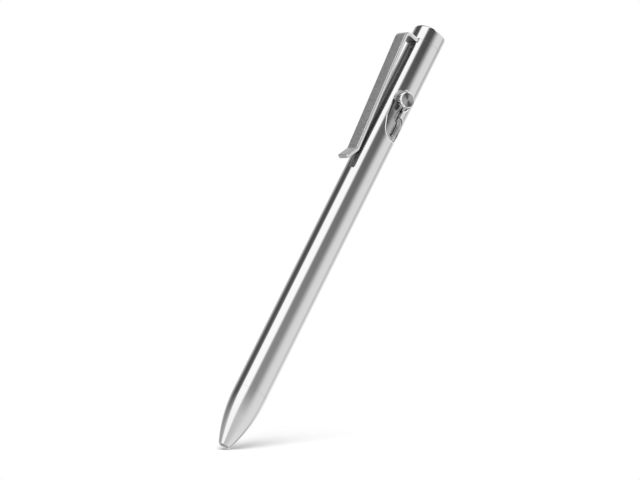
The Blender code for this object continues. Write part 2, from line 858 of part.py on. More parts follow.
def main():
    clear_scene()
    parts = new_collection(COLLECTION_NAME)
    cutters = new_collection(CUTTER_COLLECTION_NAME)
    paint = make_materials()
    roll = new_empty(parts, "pen_roll", axis_place(), roll=rest_roll())
    refill_slide = new_empty(parts, "refill_slide", (0.0, 0.0, 0.0), roll)
    bolt_turn = new_empty(parts, "bolt_turn", (0.0, 0.0, 0.0), refill_slide)
    nose_slide = new_empty(parts, "nose_slide", (0.0, 0.0, 0.0), roll)
    nose_turn = new_empty(parts, "nose_turn", (0.0, 0.0, 0.0), nose_slide)

    make_barrel(parts, cutters, paint["barrel_steel"], roll)
    make_end_cap(parts, paint["cap_steel"], roll)
    make_clip(parts, paint["clip_steel"], roll)
    make_knob(parts, paint["knob_steel"], bolt_turn)
    make_carrier(parts, cutters, paint["carrier_steel"], bolt_turn, roll)
    make_nose_cone(parts, paint["nose_steel"], nose_turn)
    make_nose_oring(parts, paint["ring_rubber"], nose_slide)
    make_refill_tube(parts, paint["tube_steel"], refill_slide)
    make_refill_plug(parts, paint["plug_plastic"], refill_slide)
    make_refill_point(parts, paint["point_brass"], refill_slide)
    make_refill_ball(parts, paint["ball_carbide"], refill_slide)
    make_ink(parts, paint["ink"], paint["follower_grease"], refill_slide)
    make_spring(parts, paint["spring_steel"], refill_slide)


main()
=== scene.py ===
"""Bolt action pen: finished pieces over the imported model, and the studio that shows them.

Shapes are first made in pen coordinates. X runs along the pen towards the writing end, and angles
round the pen are turned from the knob's own direction, away from the clip. pen_matrix() then
brings a mesh to where the model's nodes are. All lengths are in metres.
"""

import math

import bmesh
import bpy
from mathutils import Matrix, Vector


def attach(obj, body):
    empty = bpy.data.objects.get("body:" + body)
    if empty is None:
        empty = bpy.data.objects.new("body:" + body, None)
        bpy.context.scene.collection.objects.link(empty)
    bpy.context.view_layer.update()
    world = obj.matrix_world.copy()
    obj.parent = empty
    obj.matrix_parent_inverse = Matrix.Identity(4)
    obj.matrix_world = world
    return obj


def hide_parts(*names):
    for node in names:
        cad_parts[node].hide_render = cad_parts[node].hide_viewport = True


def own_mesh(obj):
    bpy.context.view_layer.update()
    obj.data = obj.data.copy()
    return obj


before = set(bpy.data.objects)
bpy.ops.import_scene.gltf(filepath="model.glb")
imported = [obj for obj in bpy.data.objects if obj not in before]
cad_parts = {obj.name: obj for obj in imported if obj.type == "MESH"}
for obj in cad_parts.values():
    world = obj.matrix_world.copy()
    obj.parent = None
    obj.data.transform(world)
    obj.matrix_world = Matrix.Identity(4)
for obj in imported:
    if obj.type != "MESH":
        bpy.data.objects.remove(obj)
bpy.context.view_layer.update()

bl_info = {
    "name": "Bolt Action Pen",
    "version": (1, 0, 0),
    "blender": (4, 5, 0),
    "location": "View3D > Sidebar > Pen",
    "description": "Makes the finished pieces of a bolt action pen and its studio",
    "category": "Add Mesh",
}

# Clearances
RUNNING_GAP = 0.0002
SEAT_GAP = 0.00015
SEAM_GAP = 0.0001
HALF_SEAM = SEAM_GAP / 2
FINE_SEAM = 0.00002
CAP_SEAM_HALF = 0.00003
NOSE_SEAM_HALF = 0.000008
OVERRUN = 0.001
WELD = 0.0000002
CLASS_TOLERANCE = 0.000004
WALL_TOLERANCE = 0.00005

# Rounded edges
ROUND = 0.0003
TIP_ROUND = 0.00015
FINE_ROUND = 0.0001
TINY_ROUND = 0.00005
LIP_ROUND = 0.00003
SUPPORT_REACH = 1.3  # of the fillet's own reach
SUPPORT_LIMIT = 0.6  # of the straight part beside it

# Steps of the curves
POCKET_STEPS = 72
POCKET_MIDDLE_STEPS = 10
POCKET_LINE_STEPS = (10, 6, 8)
POCKET_FILLET_STEPS = 5
SLOT_STEPS = 14
CLIP_BEND_STEPS = 12
CLIP_EDGE_STEPS = 6
ORING_STEPS = 20
BALL_STEPS = 24
RIM_POINTS = 72

# Barrel and cap
PEN_LENGTH = 0.1397
BORE_RADIUS = 0.0033
NOSE_SEAM_FROM_TAIL = 0.12255
NOSE_STRAIGHT_LENGTH = 0.001
NOSE_SPIGOT_LENGTH = 0.00775
NOSE_THREAD_RADIUS = 0.00415
CAP_LENGTH = 0.0048
CAP_STUD_RADIUS = 0.0028
CAP_STUD_LENGTH = 0.0066
RIM_COUNTERBORE_RADIUS = 0.004
TAIL_WEB_END = 0.0122
THREAD_PITCH = 0.00075
THREAD_DEPTH = 0.00028

# Clip
CLIP_TOP_REACH = 0.00915
CLIP_FOOT_REACH = 0.0065
CLIP_END_REACH = 0.0085
CLIP_FOOT_FROM_TAIL = 0.0444
CLIP_END_FROM_TAIL = 0.0484
CLIP_OUTER_BEND = 0.002
CLIP_FOOT_BEND = 0.0015
CLIP_TAB_INNER_REACH = 0.0031
CLIP_FROM_KNOB = math.radians(81.0)
CLIP_SHARP_ANGLE = math.radians(32.0)
CLIP_EDGE_FACING = 0.3
# Beyond this facing, the strip's side towards the barrel gets painted shade
CLIP_UNDERSIDE_FACING = 0.2

# Knob, carrier and slot
KNOB_FROM_TAIL = 0.0245
KNOB_FACE_REACH = 0.00685
KNOB_UNDERSIDE_REACH = 0.0052
KNOB_NECK_RADIUS = 0.00113
KNOB_STUD_RADIUS = 0.0008
KNOB_STUD_DEPTH = 0.0021
CARRIER_RADIUS = BORE_RADIUS - RUNNING_GAP
CARRIER_REAR = 0.0217
CARRIER_LENGTH = 0.0158
CARRIER_GROOVE_FROM_REAR = 0.0014
CARRIER_GROOVE_WIDTH = 0.0007
CARRIER_GROOVE_DEPTH = 0.00025
SLOT_HALF_WIDTH = KNOB_NECK_RADIUS + SEAT_GAP
TURN_ANGLE = math.radians(25.0)
LOCK_TRAVEL = 0.0071
FULL_TRAVEL = 0.0098

# Pocket round the slot
POCKET_TOP_RADIUS = 0.0031
POCKET_MIDDLE_FROM_KNOB = 0.00577
POCKET_MIDDLE_RADIUS = 0.0034
POCKET_MIDDLE_ANGLE = math.radians(9.6)
POCKET_BOTTOM_FROM_KNOB = 0.00863
POCKET_BOTTOM_RADIUS = 0.00374
POCKET_FILLET_SHARE = 0.88  # of a quarter turn
CHAMFER_SLOPE = 0.62
# Ends of the pocket's left wall that gets painted shade ahead of the knob and a painted highlight
# behind it
DARK_WALL_START = 0.0008
DARK_WALL_END = math.radians(14.0)

# Nose
NOSE_TIP_RADIUS = 0.0017
POINT_HOLE_RADIUS = 0.00135
SPRING_SEAT_FROM_TIP = 0.0054
REFILL_STOP_FROM_TIP = 0.0093
ORING_LAND = 0.0005
ORING_GROOVE = 0.00075
ORING_CORD = 0.00054

# Refill
REFILL_TAIL = 0.0377
REFILL_TIP = 0.1357
REFILL_RADIUS = 0.00295
REFILL_WALL = 0.00035
REFILL_SHOULDER = 0.1202
REFILL_NECK_LENGTH = 0.004
REFILL_NECK_RADIUS = 0.00175
POINT_RADIUS = 0.00115
POINT_CONE_LENGTH = 0.0028
POINT_CONE_END = 0.00055
POINT_TAIL_LENGTH = 0.0028
POINT_CHANNEL_RADIUS = 0.00025
POINT_SOCKET_LIP = 0.00012
BALL_RADIUS = 0.00035
PLUG_FLANGE = 0.0022
PLUG_SPIGOT = 0.0045
PLUG_VENT_RADIUS = 0.0006

# Painted sheen of the knob's face: two dark sectors that lie as in the photograph
SHEEN_TURN = 0.379
SHEEN_SHARPNESS = 2.5
SHEEN_DEPTH = 0.8
FACE_GROOVES = 240.0
FACE_ANISOTROPY = 0.85
TURNING_MAP_SCALE = 100.0
TURNING_MAP_DEPTH = 0.3

# Noise of the finishes
GRAIN_DETAIL = 3.0
GRAIN_ROUGHNESS = 0.6
GRAIN_LOW = 0.3
GRAIN_HIGH = 0.7

# Studio
FLOOR_FADE_START = 0.2  # of the floor's reach
GLOSS_STRENGTH = 1.06
CLIP_START = 0.01

# Camera, fitted to the photograph's frame of 640 by 480
CAMERA_PLACE = (0.3546511, -0.7248692, 0.6422733)
CAMERA_RIGHT = (-0.4210492, 0.4755112, 0.7724032)
CAMERA_UP = (-0.8400832, -0.525543, -0.1344049)
CAMERA_BACK = (0.3420201, -0.705474, 0.6207484)
CAMERA_LENS = 203.59
SENSOR_WIDTH = 36.0
CAMERA_ANGLE = math.radians(138.655)

QUARTER = math.radians(90.0)
FULL_TURN = math.radians(360.0)


class PenSizes(bpy.types.PropertyGroup):
    """Sizes of the pieces that show"""

    barrel_diameter: bpy.props.FloatProperty(
        name="Barrel Diameter", description="Outer diameter of barrel, cap and nose at the seam",
        default=0.00965, unit="LENGTH", precision=5)
    barrel_segments: bpy.props.IntProperty(
        name="Barrel Segments", description="Facets round the barrel, cap and nose", default=256)
    small_segments: bpy.props.IntProperty(
        name="Small Segments", description="Facets round the smaller turned pieces", default=96)
    rim_round: bpy.props.FloatProperty(
        name="Seam Edge Round", description="Rounding of the edges at the two seams",
        default=0.000015, unit="LENGTH", precision=6)
    cap_edge_round: bpy.props.FloatProperty(
        name="Cap Edge Round", description="Rounding of the cap's end edge",
        default=0.00075, unit="LENGTH", precision=5)
    pocket_depth: bpy.props.FloatProperty(
        name="Pocket Depth", description="Depth of the milled pocket under the barrel's surface",
        default=0.00083, unit="LENGTH", precision=5)
    pocket_chamfer: bpy.props.FloatProperty(
        name="Pocket Chamfer", description="Width of the bright chamfer round the pocket",
        default=0.00024, unit="LENGTH", precision=5)
    pocket_fillet: bpy.props.FloatProperty(
        name="Pocket Fillet", description="Radius between the pocket's wall and its floor",
        default=0.00045, unit="LENGTH", precision=5)
    clip_width: bpy.props.FloatProperty(
        name="Clip Width", description="Width of the clip's strip",
        default=0.00475, unit="LENGTH", precision=5)
    clip_thickness: bpy.props.FloatProperty(
        name="Clip Thickness", description="Thickness of the clip's strip",
        default=0.0012, unit="LENGTH", precision=5)
    clip_edge_round: bpy.props.FloatProperty(
        name="Clip Edge Round", description="Rounding of the strip's long edges",
        default=0.00033, unit="LENGTH", precision=5)
    clip_corner_round: bpy.props.FloatProperty(
        name="Clip Corner Round", description="Rounding of the two corners at the clip's free end",
        default=0.0007, unit="LENGTH", precision=5)
    clip_end_round: bpy.props.FloatProperty(
        name="Clip End Round", description="Rounding of the edges at the clip's free end",
        default=0.0005, unit="LENGTH", precision=5)
    knob_diameter: bpy.props.FloatProperty(
        name="Knob Diameter", description="Diameter of the knob's head",
        default=0.0048, unit="LENGTH", precision=5)
    knob_bevel: bpy.props.FloatProperty(
        name="Knob Bevel", description="Width of the bevel round the knob's face",
        default=0.00036, unit="LENGTH", precision=5)
    spring_turns: bpy.props.FloatProperty(
        name="Spring Turns", description="Turns of the return spring, closed ends included",
        default=9.5)
    spring_wire: bpy.props.FloatProperty(
        name="Spring Wire", description="Diameter of the spring's wire",
        default=0.00035, unit="LENGTH", precision=5)
    spring_mean_diameter: bpy.props.FloatProperty(
        name="Spring Diameter", description="Mean diameter of the spring's coil",
        default=0.0044, unit="LENGTH", precision=5)


class PenFinishes(bpy.types.PropertyGroup):
    """Colors and roughness of the pen's finishes"""

    polished_color: bpy.props.FloatVectorProperty(
        name="Polished Steel", description="Color of the polished barrel, cap and nose",
        default=(0.93, 0.93, 0.935), subtype="COLOR", min=0.0, max=1.0)
    polished_roughness: bpy.props.FloatProperty(
        name="Polished Roughness", description="Roughness of the polished steel",
        default=0.06, subtype="FACTOR", min=0.0, max=1.0)
    milled_color: bpy.props.FloatVectorProperty(
        name="Milled Steel", description="Color of the milled pocket",
        default=(0.62, 0.62, 0.625), subtype="COLOR", min=0.0, max=1.0)
    clip_color: bpy.props.FloatVectorProperty(
        name="Clip Steel", description="Color of the satin clip",
        default=(0.91, 0.91, 0.915), subtype="COLOR", min=0.0, max=1.0)
    # Painted shade: a dark colour on the clip's and the knob's undersides, which stands for the
    # shade that falls under them
    underside_shade_color: bpy.props.FloatVectorProperty(
        name="Underside Shade", description="Color of the undersides, darkened as painted shade",
        default=(0.24, 0.24, 0.245), subtype="COLOR", min=0.0, max=1.0)
    # Painted shade and a painted highlight on the pocket's left wall, in place of its own light
    # and shade
    pocket_wall_shade: bpy.props.FloatVectorProperty(
        name="Wall Painted Shade", description="Color of the pocket's left wall ahead of the knob",
        default=(0.06, 0.06, 0.061), subtype="COLOR", min=0.0, max=1.0)
    pocket_wall_highlight: bpy.props.FloatVectorProperty(
        name="Wall Painted Highlight", description="Color of the pocket's left wall behind the knob",
        default=(1.0, 1.0, 1.0), subtype="COLOR", min=0.0, max=1.0)
    knob_color: bpy.props.FloatVectorProperty(
        name="Knob Steel", description="Color of the turned knob",
        default=(0.54, 0.54, 0.545), subtype="COLOR", min=0.0, max=1.0)
    carrier_color: bpy.props.FloatVectorProperty(
        name="Carrier Steel", description="Color of the carrier in the slot",
        default=(0.6, 0.6, 0.605), subtype="COLOR", min=0.0, max=1.0)
    # Painted light: a pale matt colour in the bore at the writing end, which stands for light in a
    # hole that would show dark
    bore_light_color: bpy.props.FloatVectorProperty(
        name="Bore Painted Light", description="Color of the matt bore at the writing end",
        default=(0.85, 0.85, 0.85), subtype="COLOR", min=0.0, max=1.0)
    tube_color: bpy.props.FloatVectorProperty(
        name="Refill Steel", description="Color of the refill's tube",
        default=(0.7, 0.7, 0.7), subtype="COLOR", min=0.0, max=1.0)
    brass_color: bpy.props.FloatVectorProperty(
        name="Point Brass", description="Color of the writing point",
        default=(0.73, 0.56, 0.28), subtype="COLOR", min=0.0, max=1.0)
    ball_color: bpy.props.FloatVectorProperty(
        name="Ball Carbide", description="Color of the writing ball",
        default=(0.35, 0.35, 0.36), subtype="COLOR", min=0.0, max=1.0)
    plug_color: bpy.props.FloatVectorProperty(
        name="Plug Plastic", description="Color of the refill's end plug",
        default=(0.8, 0.8, 0.78), subtype="COLOR", min=0.0, max=1.0)
    rubber_color: bpy.props.FloatVectorProperty(
        name="Ring Rubber", description="Color of the nose's ring",
        default=(0.02, 0.02, 0.02), subtype="COLOR", min=0.0, max=1.0)
    ink_color: bpy.props.FloatVectorProperty(
        name="Ink", description="Color of the ink",
        default=(0.01, 0.01, 0.02), subtype="COLOR", min=0.0, max=1.0)
    grease_color: bpy.props.FloatVectorProperty(
        name="Follower Grease", description="Color of the grease behind the ink",
        default=(0.7, 0.68, 0.5), subtype="COLOR", min=0.0, max=1.0)


class PenStudio(bpy.types.PropertyGroup):
    """Floor and light of the studio"""

    room_level: bpy.props.FloatProperty(
        name="Room Light", description="Even light of the room on matt surfaces",
        default=0.75, min=0.0)
    overhead_power: bpy.props.FloatProperty(
        name="Overhead Power", description="Power of the wide lamp over the floor",
        default=4.0, unit="POWER", min=0.0)
    overhead_size: bpy.props.FloatProperty(
        name="Overhead Size", description="Side of the wide lamp",
        default=0.6, unit="LENGTH", min=0.0)
    overhead_shift: bpy.props.FloatProperty(
        name="Overhead Shift",
        description="Distance of the wide lamp from over the tip to the camera",
        default=0.2, unit="LENGTH")
    overhead_height: bpy.props.FloatProperty(
        name="Overhead Height", description="Height of the wide lamp over the floor",
        default=0.8, unit="LENGTH", min=0.0)
    floor_tilt: bpy.props.FloatProperty(
        name="Floor Tilt", description="Angle between the floor and the line of sight",
        default=math.radians(4.6), subtype="ANGLE")
    floor_reach: bpy.props.FloatProperty(
        name="Floor Reach", description="Distance from the tip at which the floor has faded out",
        default=0.062, unit="LENGTH", min=0.0)
    floor_color: bpy.props.FloatVectorProperty(
        name="Floor Color", description="Color of the floor",
        default=(0.9, 0.9, 0.9), subtype="COLOR", min=0.0, max=1.0)


# Places


def along(from_tail):
    """Place on the X axis of a distance from the tail end."""
    return from_tail - PEN_LENGTH / 2


def pen_matrix(sizes):
    """Pen coordinates to the model's frame: rolled until the clip and the barrel touch z = 0."""
    radius = sizes.barrel_diameter / 2
    half_width = sizes.clip_width / 2
    corner_reach = math.hypot(CLIP_TOP_REACH, half_width)
    dip = math.asin(radius / corner_reach) - math.atan2(half_width, CLIP_TOP_REACH)
    roll = 2 * QUARTER + dip - (QUARTER + CLIP_FROM_KNOB)
    clip_side = CLIP_TOP_REACH * math.cos(dip) + half_width * math.sin(dip)
    lift = Matrix.Translation((0.0, (clip_side - radius) / 2, radius))
    return lift @ Matrix.Rotation(roll, 4, "X")


def knob_matrix(sizes):
    """Coordinates along the knob, on X, to the model's frame."""
    to_knob = Matrix.Rotation(-QUARTER, 4, "Y")
    return pen_matrix(sizes) @ Matrix.Translation((along(KNOB_FROM_TAIL), 0.0, 0.0)) @ to_knob


def round_the_pen(x, angle, radius):
    """Point at an angle from the knob's direction and a distance from the pen's axis."""
    return Vector((x, radius * math.sin(angle), radius * math.cos(angle)))


def arc_points(center_x, center_y, radius, start, end, steps):
    """Points of an arc from one angle to another, both ends included."""
    points = []
    for index in range(steps + 1):
        angle = start + (end - start) * index / steps
        points.append((center_x + radius * math.cos(angle), center_y + radius * math.sin(angle)))
    return points


def line_points(start, end, steps):
    """Points strictly between two places on a straight line."""
    return [tuple(Vector(start).lerp(Vector(end), index / steps)) for index in range(1, steps)]


def rounded(corners, steps=8, closed=False):
    """Chain of points through (x, radius, fillet) corners, each fillet an arc.

    A support point beside each arc keeps the shading of the straight part plain.
    """
    chain = []
    count = len(corners)
    for index, (x, radius, fillet) in enumerate(corners):
        if not fillet or (not closed and index in (0, count - 1)):
            chain.append((x, radius))
            continue
        corner = Vector((x, radius))
        before = Vector(corners[index - 1][:2]) - corner
        after = Vector(corners[(index + 1) % count][:2]) - corner
        half_angle = before.angle(after) / 2
        reach = fillet / math.tan(half_angle)
        center = corner + ((before.normalized() + after.normalized()).normalized()
                           * (fillet / math.sin(half_angle)))
        first = corner + before.normalized() * reach - center
        turn = first.angle_signed(corner + after.normalized() * reach - center)
        chain.append(corner + before.normalized() * min(reach * SUPPORT_REACH,
                                                        before.length * SUPPORT_LIMIT))
        for step in range(steps + 1):
            chain.append(center + Matrix.Rotation(-turn * step / steps, 2) @ first)
        chain.append(corner + after.normalized() * min(reach * SUPPORT_REACH,
                                                       after.length * SUPPORT_LIMIT))
    return [tuple(point) for point in chain]


# Nodes


def open_socket(sockets, name):
    """The socket of this name that the node's settings leave in use."""
    return next(item for item in sockets if item.name == name and item.enabled)


def add(tree, kind, inputs=None, **settings):
    """New node with its settings, and its inputs set to values or linked to sockets."""
    node = tree.nodes.new(kind)
    for key, value in settings.items():
        setattr(node, key, value)
    for key, value in (inputs or {}).items():
        socket = open_socket(node.inputs, key)
        if isinstance(value, bpy.types.NodeSocket):
            tree.links.new(value, socket)
        else:
            socket.default_value = value
    return node


def sum_up(tree, operation, *values):
    """Output of a Math node over numbers or sockets."""
    node = tree.nodes.new("ShaderNodeMath")
    node.operation = operation
    for socket, value in zip(node.inputs, values):
        if isinstance(value, bpy.types.NodeSocket):
            tree.links.new(value, socket)
        else:
            socket.default_value = value
    return node.outputs[0]


def new_tree(name, sockets):
    """Geometry tree with named inputs, from (name, socket type, default)."""
    tree = bpy.data.node_groups.new(name, "GeometryNodeTree")
    tree.is_modifier = True
    tree.interface.new_socket("Geometry", in_out="INPUT", socket_type="NodeSocketGeometry")
    for label, kind, default in sockets:
        socket = tree.interface.new_socket(label, in_out="INPUT", socket_type=kind)
        if default is not None:
            socket.default_value = default
    tree.interface.new_socket("Geometry", in_out="OUTPUT", socket_type="NodeSocketGeometry")
    return tree, add(tree, "NodeGroupInput"), add(tree, "NodeGroupOutput")


def end_tree(tree, given, result, geometry):
    """The tree, ended in Realize Instances and Set Material."""
    real = add(tree, "GeometryNodeRealizeInstances", {"Geometry": geometry})
    finished = add(tree, "GeometryNodeSetMaterial", {"Geometry": real.outputs[0],
                                                     "Material": given.outputs["Finish"]})
    tree.links.new(finished.outputs[0], result.inputs[0])
    return tree


def turned_tree():
    """Tree that turns a chain of points, with places on X and radii on Y, once round X."""
    tree, given, result = new_tree("Turned Piece", (
        ("Segments", "NodeSocketInt", 96), ("Weld Distance", "NodeSocketFloat", WELD),
        ("Finish", "NodeSocketMaterial", None)))
    size = add(tree, "GeometryNodeAttributeDomainSize", {"Geometry": given.outputs["Geometry"]},
               component="MESH")
    columns = sum_up(tree, "ADD", given.outputs["Segments"], 1.0)
    grid = add(tree, "GeometryNodeMeshGrid", {"Vertices X": size.outputs["Point Count"],
                                              "Vertices Y": columns})
    index = add(tree, "GeometryNodeInputIndex").outputs[0]
    row = sum_up(tree, "FLOOR", sum_up(tree, "DIVIDE", index, columns))
    column = sum_up(tree, "SUBTRACT", index, sum_up(tree, "MULTIPLY", row, columns))
    share = sum_up(tree, "DIVIDE", column, given.outputs["Segments"])
    angle = sum_up(tree, "MULTIPLY", share, FULL_TURN)
    place = add(tree, "GeometryNodeInputPosition").outputs[0]
    sample = add(tree, "GeometryNodeSampleIndex", {"Geometry": given.outputs["Geometry"],
                                                   "Value": place, "Index": row},
                 data_type="FLOAT_VECTOR", domain="POINT")
    chain = add(tree, "ShaderNodeSeparateXYZ", {"Vector": open_socket(sample.outputs, "Value")})
    turned_y = sum_up(tree, "MULTIPLY", chain.outputs["Y"], sum_up(tree, "SINE", angle))
    turned_z = sum_up(tree, "MULTIPLY", chain.outputs["Y"], sum_up(tree, "COSINE", angle))
    point = add(tree, "ShaderNodeCombineXYZ", {"X": chain.outputs["X"], "Y": turned_y,
                                               "Z": turned_z})
    moved = add(tree, "GeometryNodeSetPosition", {"Geometry": grid.outputs["Mesh"],
                                                  "Position": point.outputs[0]})
    welded = add(tree, "GeometryNodeMergeByDistance", {"Geometry": moved.outputs[0],
                                                       "Distance": given.outputs["Weld Distance"]})
    return end_tree(tree, given, result, welded.outputs[0])


def coil_tree():
    """Tree that winds a wire round X from x = 0, with closed turns at both ends if asked."""
    tree, given, result = new_tree("Coil", (
        ("Turns", "NodeSocketFloat", 9.5), ("Closed Turns", "NodeSocketFloat", 1.0),
        ("Coil Radius", "NodeSocketFloat", 0.0022), ("Wire Radius", "NodeSocketFloat", 0.000175),
        ("Length", "NodeSocketFloat", 0.0138), ("Points in a Turn", "NodeSocketInt", 36),
        ("Wire Sides", "NodeSocketInt", 10), ("Finish", "NodeSocketMaterial", None)))
    turns = given.outputs["Turns"]
    closed = given.outputs["Closed Turns"]
    count = sum_up(tree, "ADD", 1.0, sum_up(tree, "MULTIPLY", turns,
                                            given.outputs["Points in a Turn"]))
    line = add(tree, "GeometryNodeCurvePrimitiveLine")
    points = add(tree, "GeometryNodeResampleCurve", {"Curve": line.outputs[0], "Count": count})
    share = add(tree, "GeometryNodeSplineParameter").outputs["Factor"]
    turn = sum_up(tree, "MULTIPLY", share, turns)
    wire = sum_up(tree, "MULTIPLY", given.outputs["Wire Radius"], 2.0)
    open_turns = sum_up(tree, "SUBTRACT", turns, sum_up(tree, "MULTIPLY", closed, 2.0))
    closed_length = sum_up(tree, "MULTIPLY", sum_up(tree, "MULTIPLY", closed, 2.0), wire)
    pitch = sum_up(tree, "DIVIDE",
                   sum_up(tree, "SUBTRACT", given.outputs["Length"], closed_length), open_turns)
    first = sum_up(tree, "MULTIPLY", sum_up(tree, "MINIMUM", turn, closed), wire)
    middle_turn = sum_up(tree, "MINIMUM", open_turns,
                         sum_up(tree, "MAXIMUM", sum_up(tree, "SUBTRACT", turn, closed), 0.0))
    middle = sum_up(tree, "MULTIPLY", middle_turn, pitch)
    last_turn = sum_up(tree, "MAXIMUM", 0.0, sum_up(
        tree, "SUBTRACT", turn, sum_up(tree, "SUBTRACT", turns, closed)))
    last = sum_up(tree, "MULTIPLY", last_turn, wire)
    x = sum_up(tree, "ADD", sum_up(tree, "ADD", first, middle), last)
    angle = sum_up(tree, "MULTIPLY", turn, FULL_TURN)
    radius = given.outputs["Coil Radius"]
    place = add(tree, "ShaderNodeCombineXYZ", {
        "X": x, "Y": sum_up(tree, "MULTIPLY", radius, sum_up(tree, "COSINE", angle)),
        "Z": sum_up(tree, "MULTIPLY", radius, sum_up(tree, "SINE", angle))})
    wound = add(tree, "GeometryNodeSetPosition", {"Geometry": points.outputs[0],
                                                  "Position": place.outputs[0]})
    circle = add(tree, "GeometryNodeCurvePrimitiveCircle", {
        "Resolution": given.outputs["Wire Sides"], "Radius": given.outputs["Wire Radius"]})
    swept = add(tree, "GeometryNodeCurveToMesh", {"Curve": wound.outputs[0],
                                                  "Profile Curve": circle.outputs[0],
                                                  "Fill Caps": True})
    return end_tree(tree, given, result, swept.outputs[0])


def tree_named(name, maker):
    """The node tree of this name, made once."""
    return bpy.data.node_groups.get(name) or maker()


def grown_mesh(name, source, tree, values):
    """Plain mesh of a source mesh after a geometry tree with these named inputs."""
    obj = bpy.data.objects.new(name, source)
    bpy.context.scene.collection.objects.link(obj)
    modifier = obj.modifiers.new(tree.name, "NODES")
    modifier.node_group = tree
    for item in tree.interface.items_tree:
        if item.in_out == "INPUT" and item.name in values:
            modifier[item.identifier] = values[item.name]
    mesh = baked(name, obj)
    mesh.materials.clear()
    if values["Finish"]:
        mesh.materials.append(values["Finish"])
    mesh.polygons.foreach_set("material_index", [0] * len(mesh.polygons))
    return mesh


def baked(name, obj):
    """Plain mesh of an object with its modifiers applied, in place of the object."""
    depsgraph = bpy.context.evaluated_depsgraph_get()
    mesh = bpy.data.meshes.new_from_object(obj.evaluated_get(depsgraph))
    source = obj.data
    bpy.data.objects.remove(obj, do_unlink=True)
    bpy.data.meshes.remove(source)
    mesh.name = name
    return mesh


# Meshes


def turned(name, chain, segments, finish, closed=False):
    """Turned mesh from (place on X, radius) pairs. A closed chain makes a hollow piece."""
    points = list(chain) + (list(chain[:1]) if closed else [])
    source = bpy.data.meshes.new(name + " chain")
    edges = [(index, index + 1) for index in range(len(points) - 1)]
    source.from_pydata([(x, radius, 0.0) for x, radius in points], edges, [])
    mesh = grown_mesh(name, source, tree_named("Turned Piece", turned_tree),
                      {"Segments": segments, "Weld Distance": WELD, "Finish": finish})
    return tidied(mesh)


def coil(name, start, values, finish):
    """Wire wound round X from a place on X, from named values of the Coil tree."""
    source = bpy.data.meshes.new(name + " start")
    mesh = grown_mesh(name, source, tree_named("Coil", coil_tree), {**values, "Finish": finish})
    mesh.transform(Matrix.Translation((start, 0.0, 0.0)))
    return tidied(mesh)


def tidied(mesh):
    """The mesh with its doubles merged and its faces turned outwards."""
    shape = bmesh.new()
    shape.from_mesh(mesh)
    bmesh.ops.remove_doubles(shape, verts=shape.verts, dist=WELD)
    bmesh.ops.dissolve_degenerate(shape, edges=shape.edges, dist=WELD / 4)
    bmesh.ops.recalc_face_normals(shape, faces=shape.faces)
    shape.to_mesh(mesh)
    shape.free()
    return mesh


def lofted(name, rings, finish=None):
    """Closed mesh through rings of equally many points, with a flat cap at both ends."""
    count = len(rings[0])
    points = [point for ring in rings for point in ring]
    faces = []
    for level in range(len(rings) - 1):
        for index in range(count):
            following = (index + 1) % count
            faces.append((level * count + index, level * count + following,
                          (level + 1) * count + following, (level + 1) * count + index))
    faces.append(tuple(reversed(range(count))))
    faces.append(tuple(range(len(points) - count, len(points))))
    mesh = bpy.data.meshes.new(name)
    mesh.from_pydata([tuple(point) for point in points], [], faces)
    if finish:
        mesh.materials.append(finish)
    return tidied(mesh)


def joined(name, meshes):
    """One mesh from several, which all have the same finish."""
    shape = bmesh.new()
    for mesh in meshes:
        shape.from_mesh(mesh)
    result = bpy.data.meshes.new(name)
    for finish in meshes[0].materials:
        result.materials.append(finish)
    shape.to_mesh(result)
    shape.free()
    for mesh in meshes:
        bpy.data.meshes.remove(mesh)
    return result


def cut_away(name, mesh, cutter_meshes):
    """The mesh less its cutters, by exact Booleans."""
    obj = bpy.data.objects.new(name, mesh)
    bpy.context.scene.collection.objects.link(obj)
    cutters = []
    for cutter_mesh in cutter_meshes:
        cutter = bpy.data.objects.new(cutter_mesh.name, cutter_mesh)
        bpy.context.scene.collection.objects.link(cutter)
        boolean = obj.modifiers.new(cutter.name, "BOOLEAN")
        boolean.operation = "DIFFERENCE"
        boolean.solver = "EXACT"
        boolean.object = cutter
        cutters.append(cutter)
    result = baked(name, obj)
    for cutter in cutters:
        cutter_mesh = cutter.data
        bpy.data.objects.remove(cutter, do_unlink=True)
        bpy.data.meshes.remove(cutter_mesh)
    return tidied(result)


def shade(mesh, sharp_angle=math.radians(28.0)):
    """Smooth shading, with the edges over this angle kept sharp."""
    mesh.shade_smooth()
    mesh.set_sharp_from_angle(angle=sharp_angle)


def piece(name, mesh, body, nodes):
    """Object of a finished mesh that rides on a body and stands for CAD nodes."""
    mesh.name = name
    obj = bpy.data.objects.new(name, mesh)
    bpy.context.scene.collection.objects.link(obj)
    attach(obj, body)
    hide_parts(*nodes)
    return obj


# Finishes


def new_finish(name):
    """New material, its node tree and its shader."""
    material = bpy.data.materials.new(name)
    material.use_nodes = True
    return material, material.node_tree, material.node_tree.nodes["Principled BSDF"]


def grain_pattern(tree, cells):
    """Noise on the piece's own coordinates, with its cells per metre along X, Y and Z."""
    place = add(tree, "ShaderNodeTexCoord").outputs["Object"]
    scaled = add(tree, "ShaderNodeVectorMath", operation="MULTIPLY")
    tree.links.new(place, scaled.inputs[0])
    scaled.inputs[1].default_value = cells
    return add(tree, "ShaderNodeTexNoise", {
        "Vector": scaled.outputs[0], "Scale": 1.0, "Detail": GRAIN_DETAIL,
        "Roughness": GRAIN_ROUGHNESS}).outputs["Fac"]


def tone(tree, pattern, color, darker):
    """Color that the pattern varies between itself and a darker share of itself."""
    mix = add(tree, "ShaderNodeMix", {"Factor": pattern}, data_type="RGBA")
    low = [channel * darker for channel in color]
    open_socket(mix.inputs, "A").default_value = (*low, 1.0)
    open_socket(mix.inputs, "B").default_value = (*color, 1.0)
    return open_socket(mix.outputs, "Result")


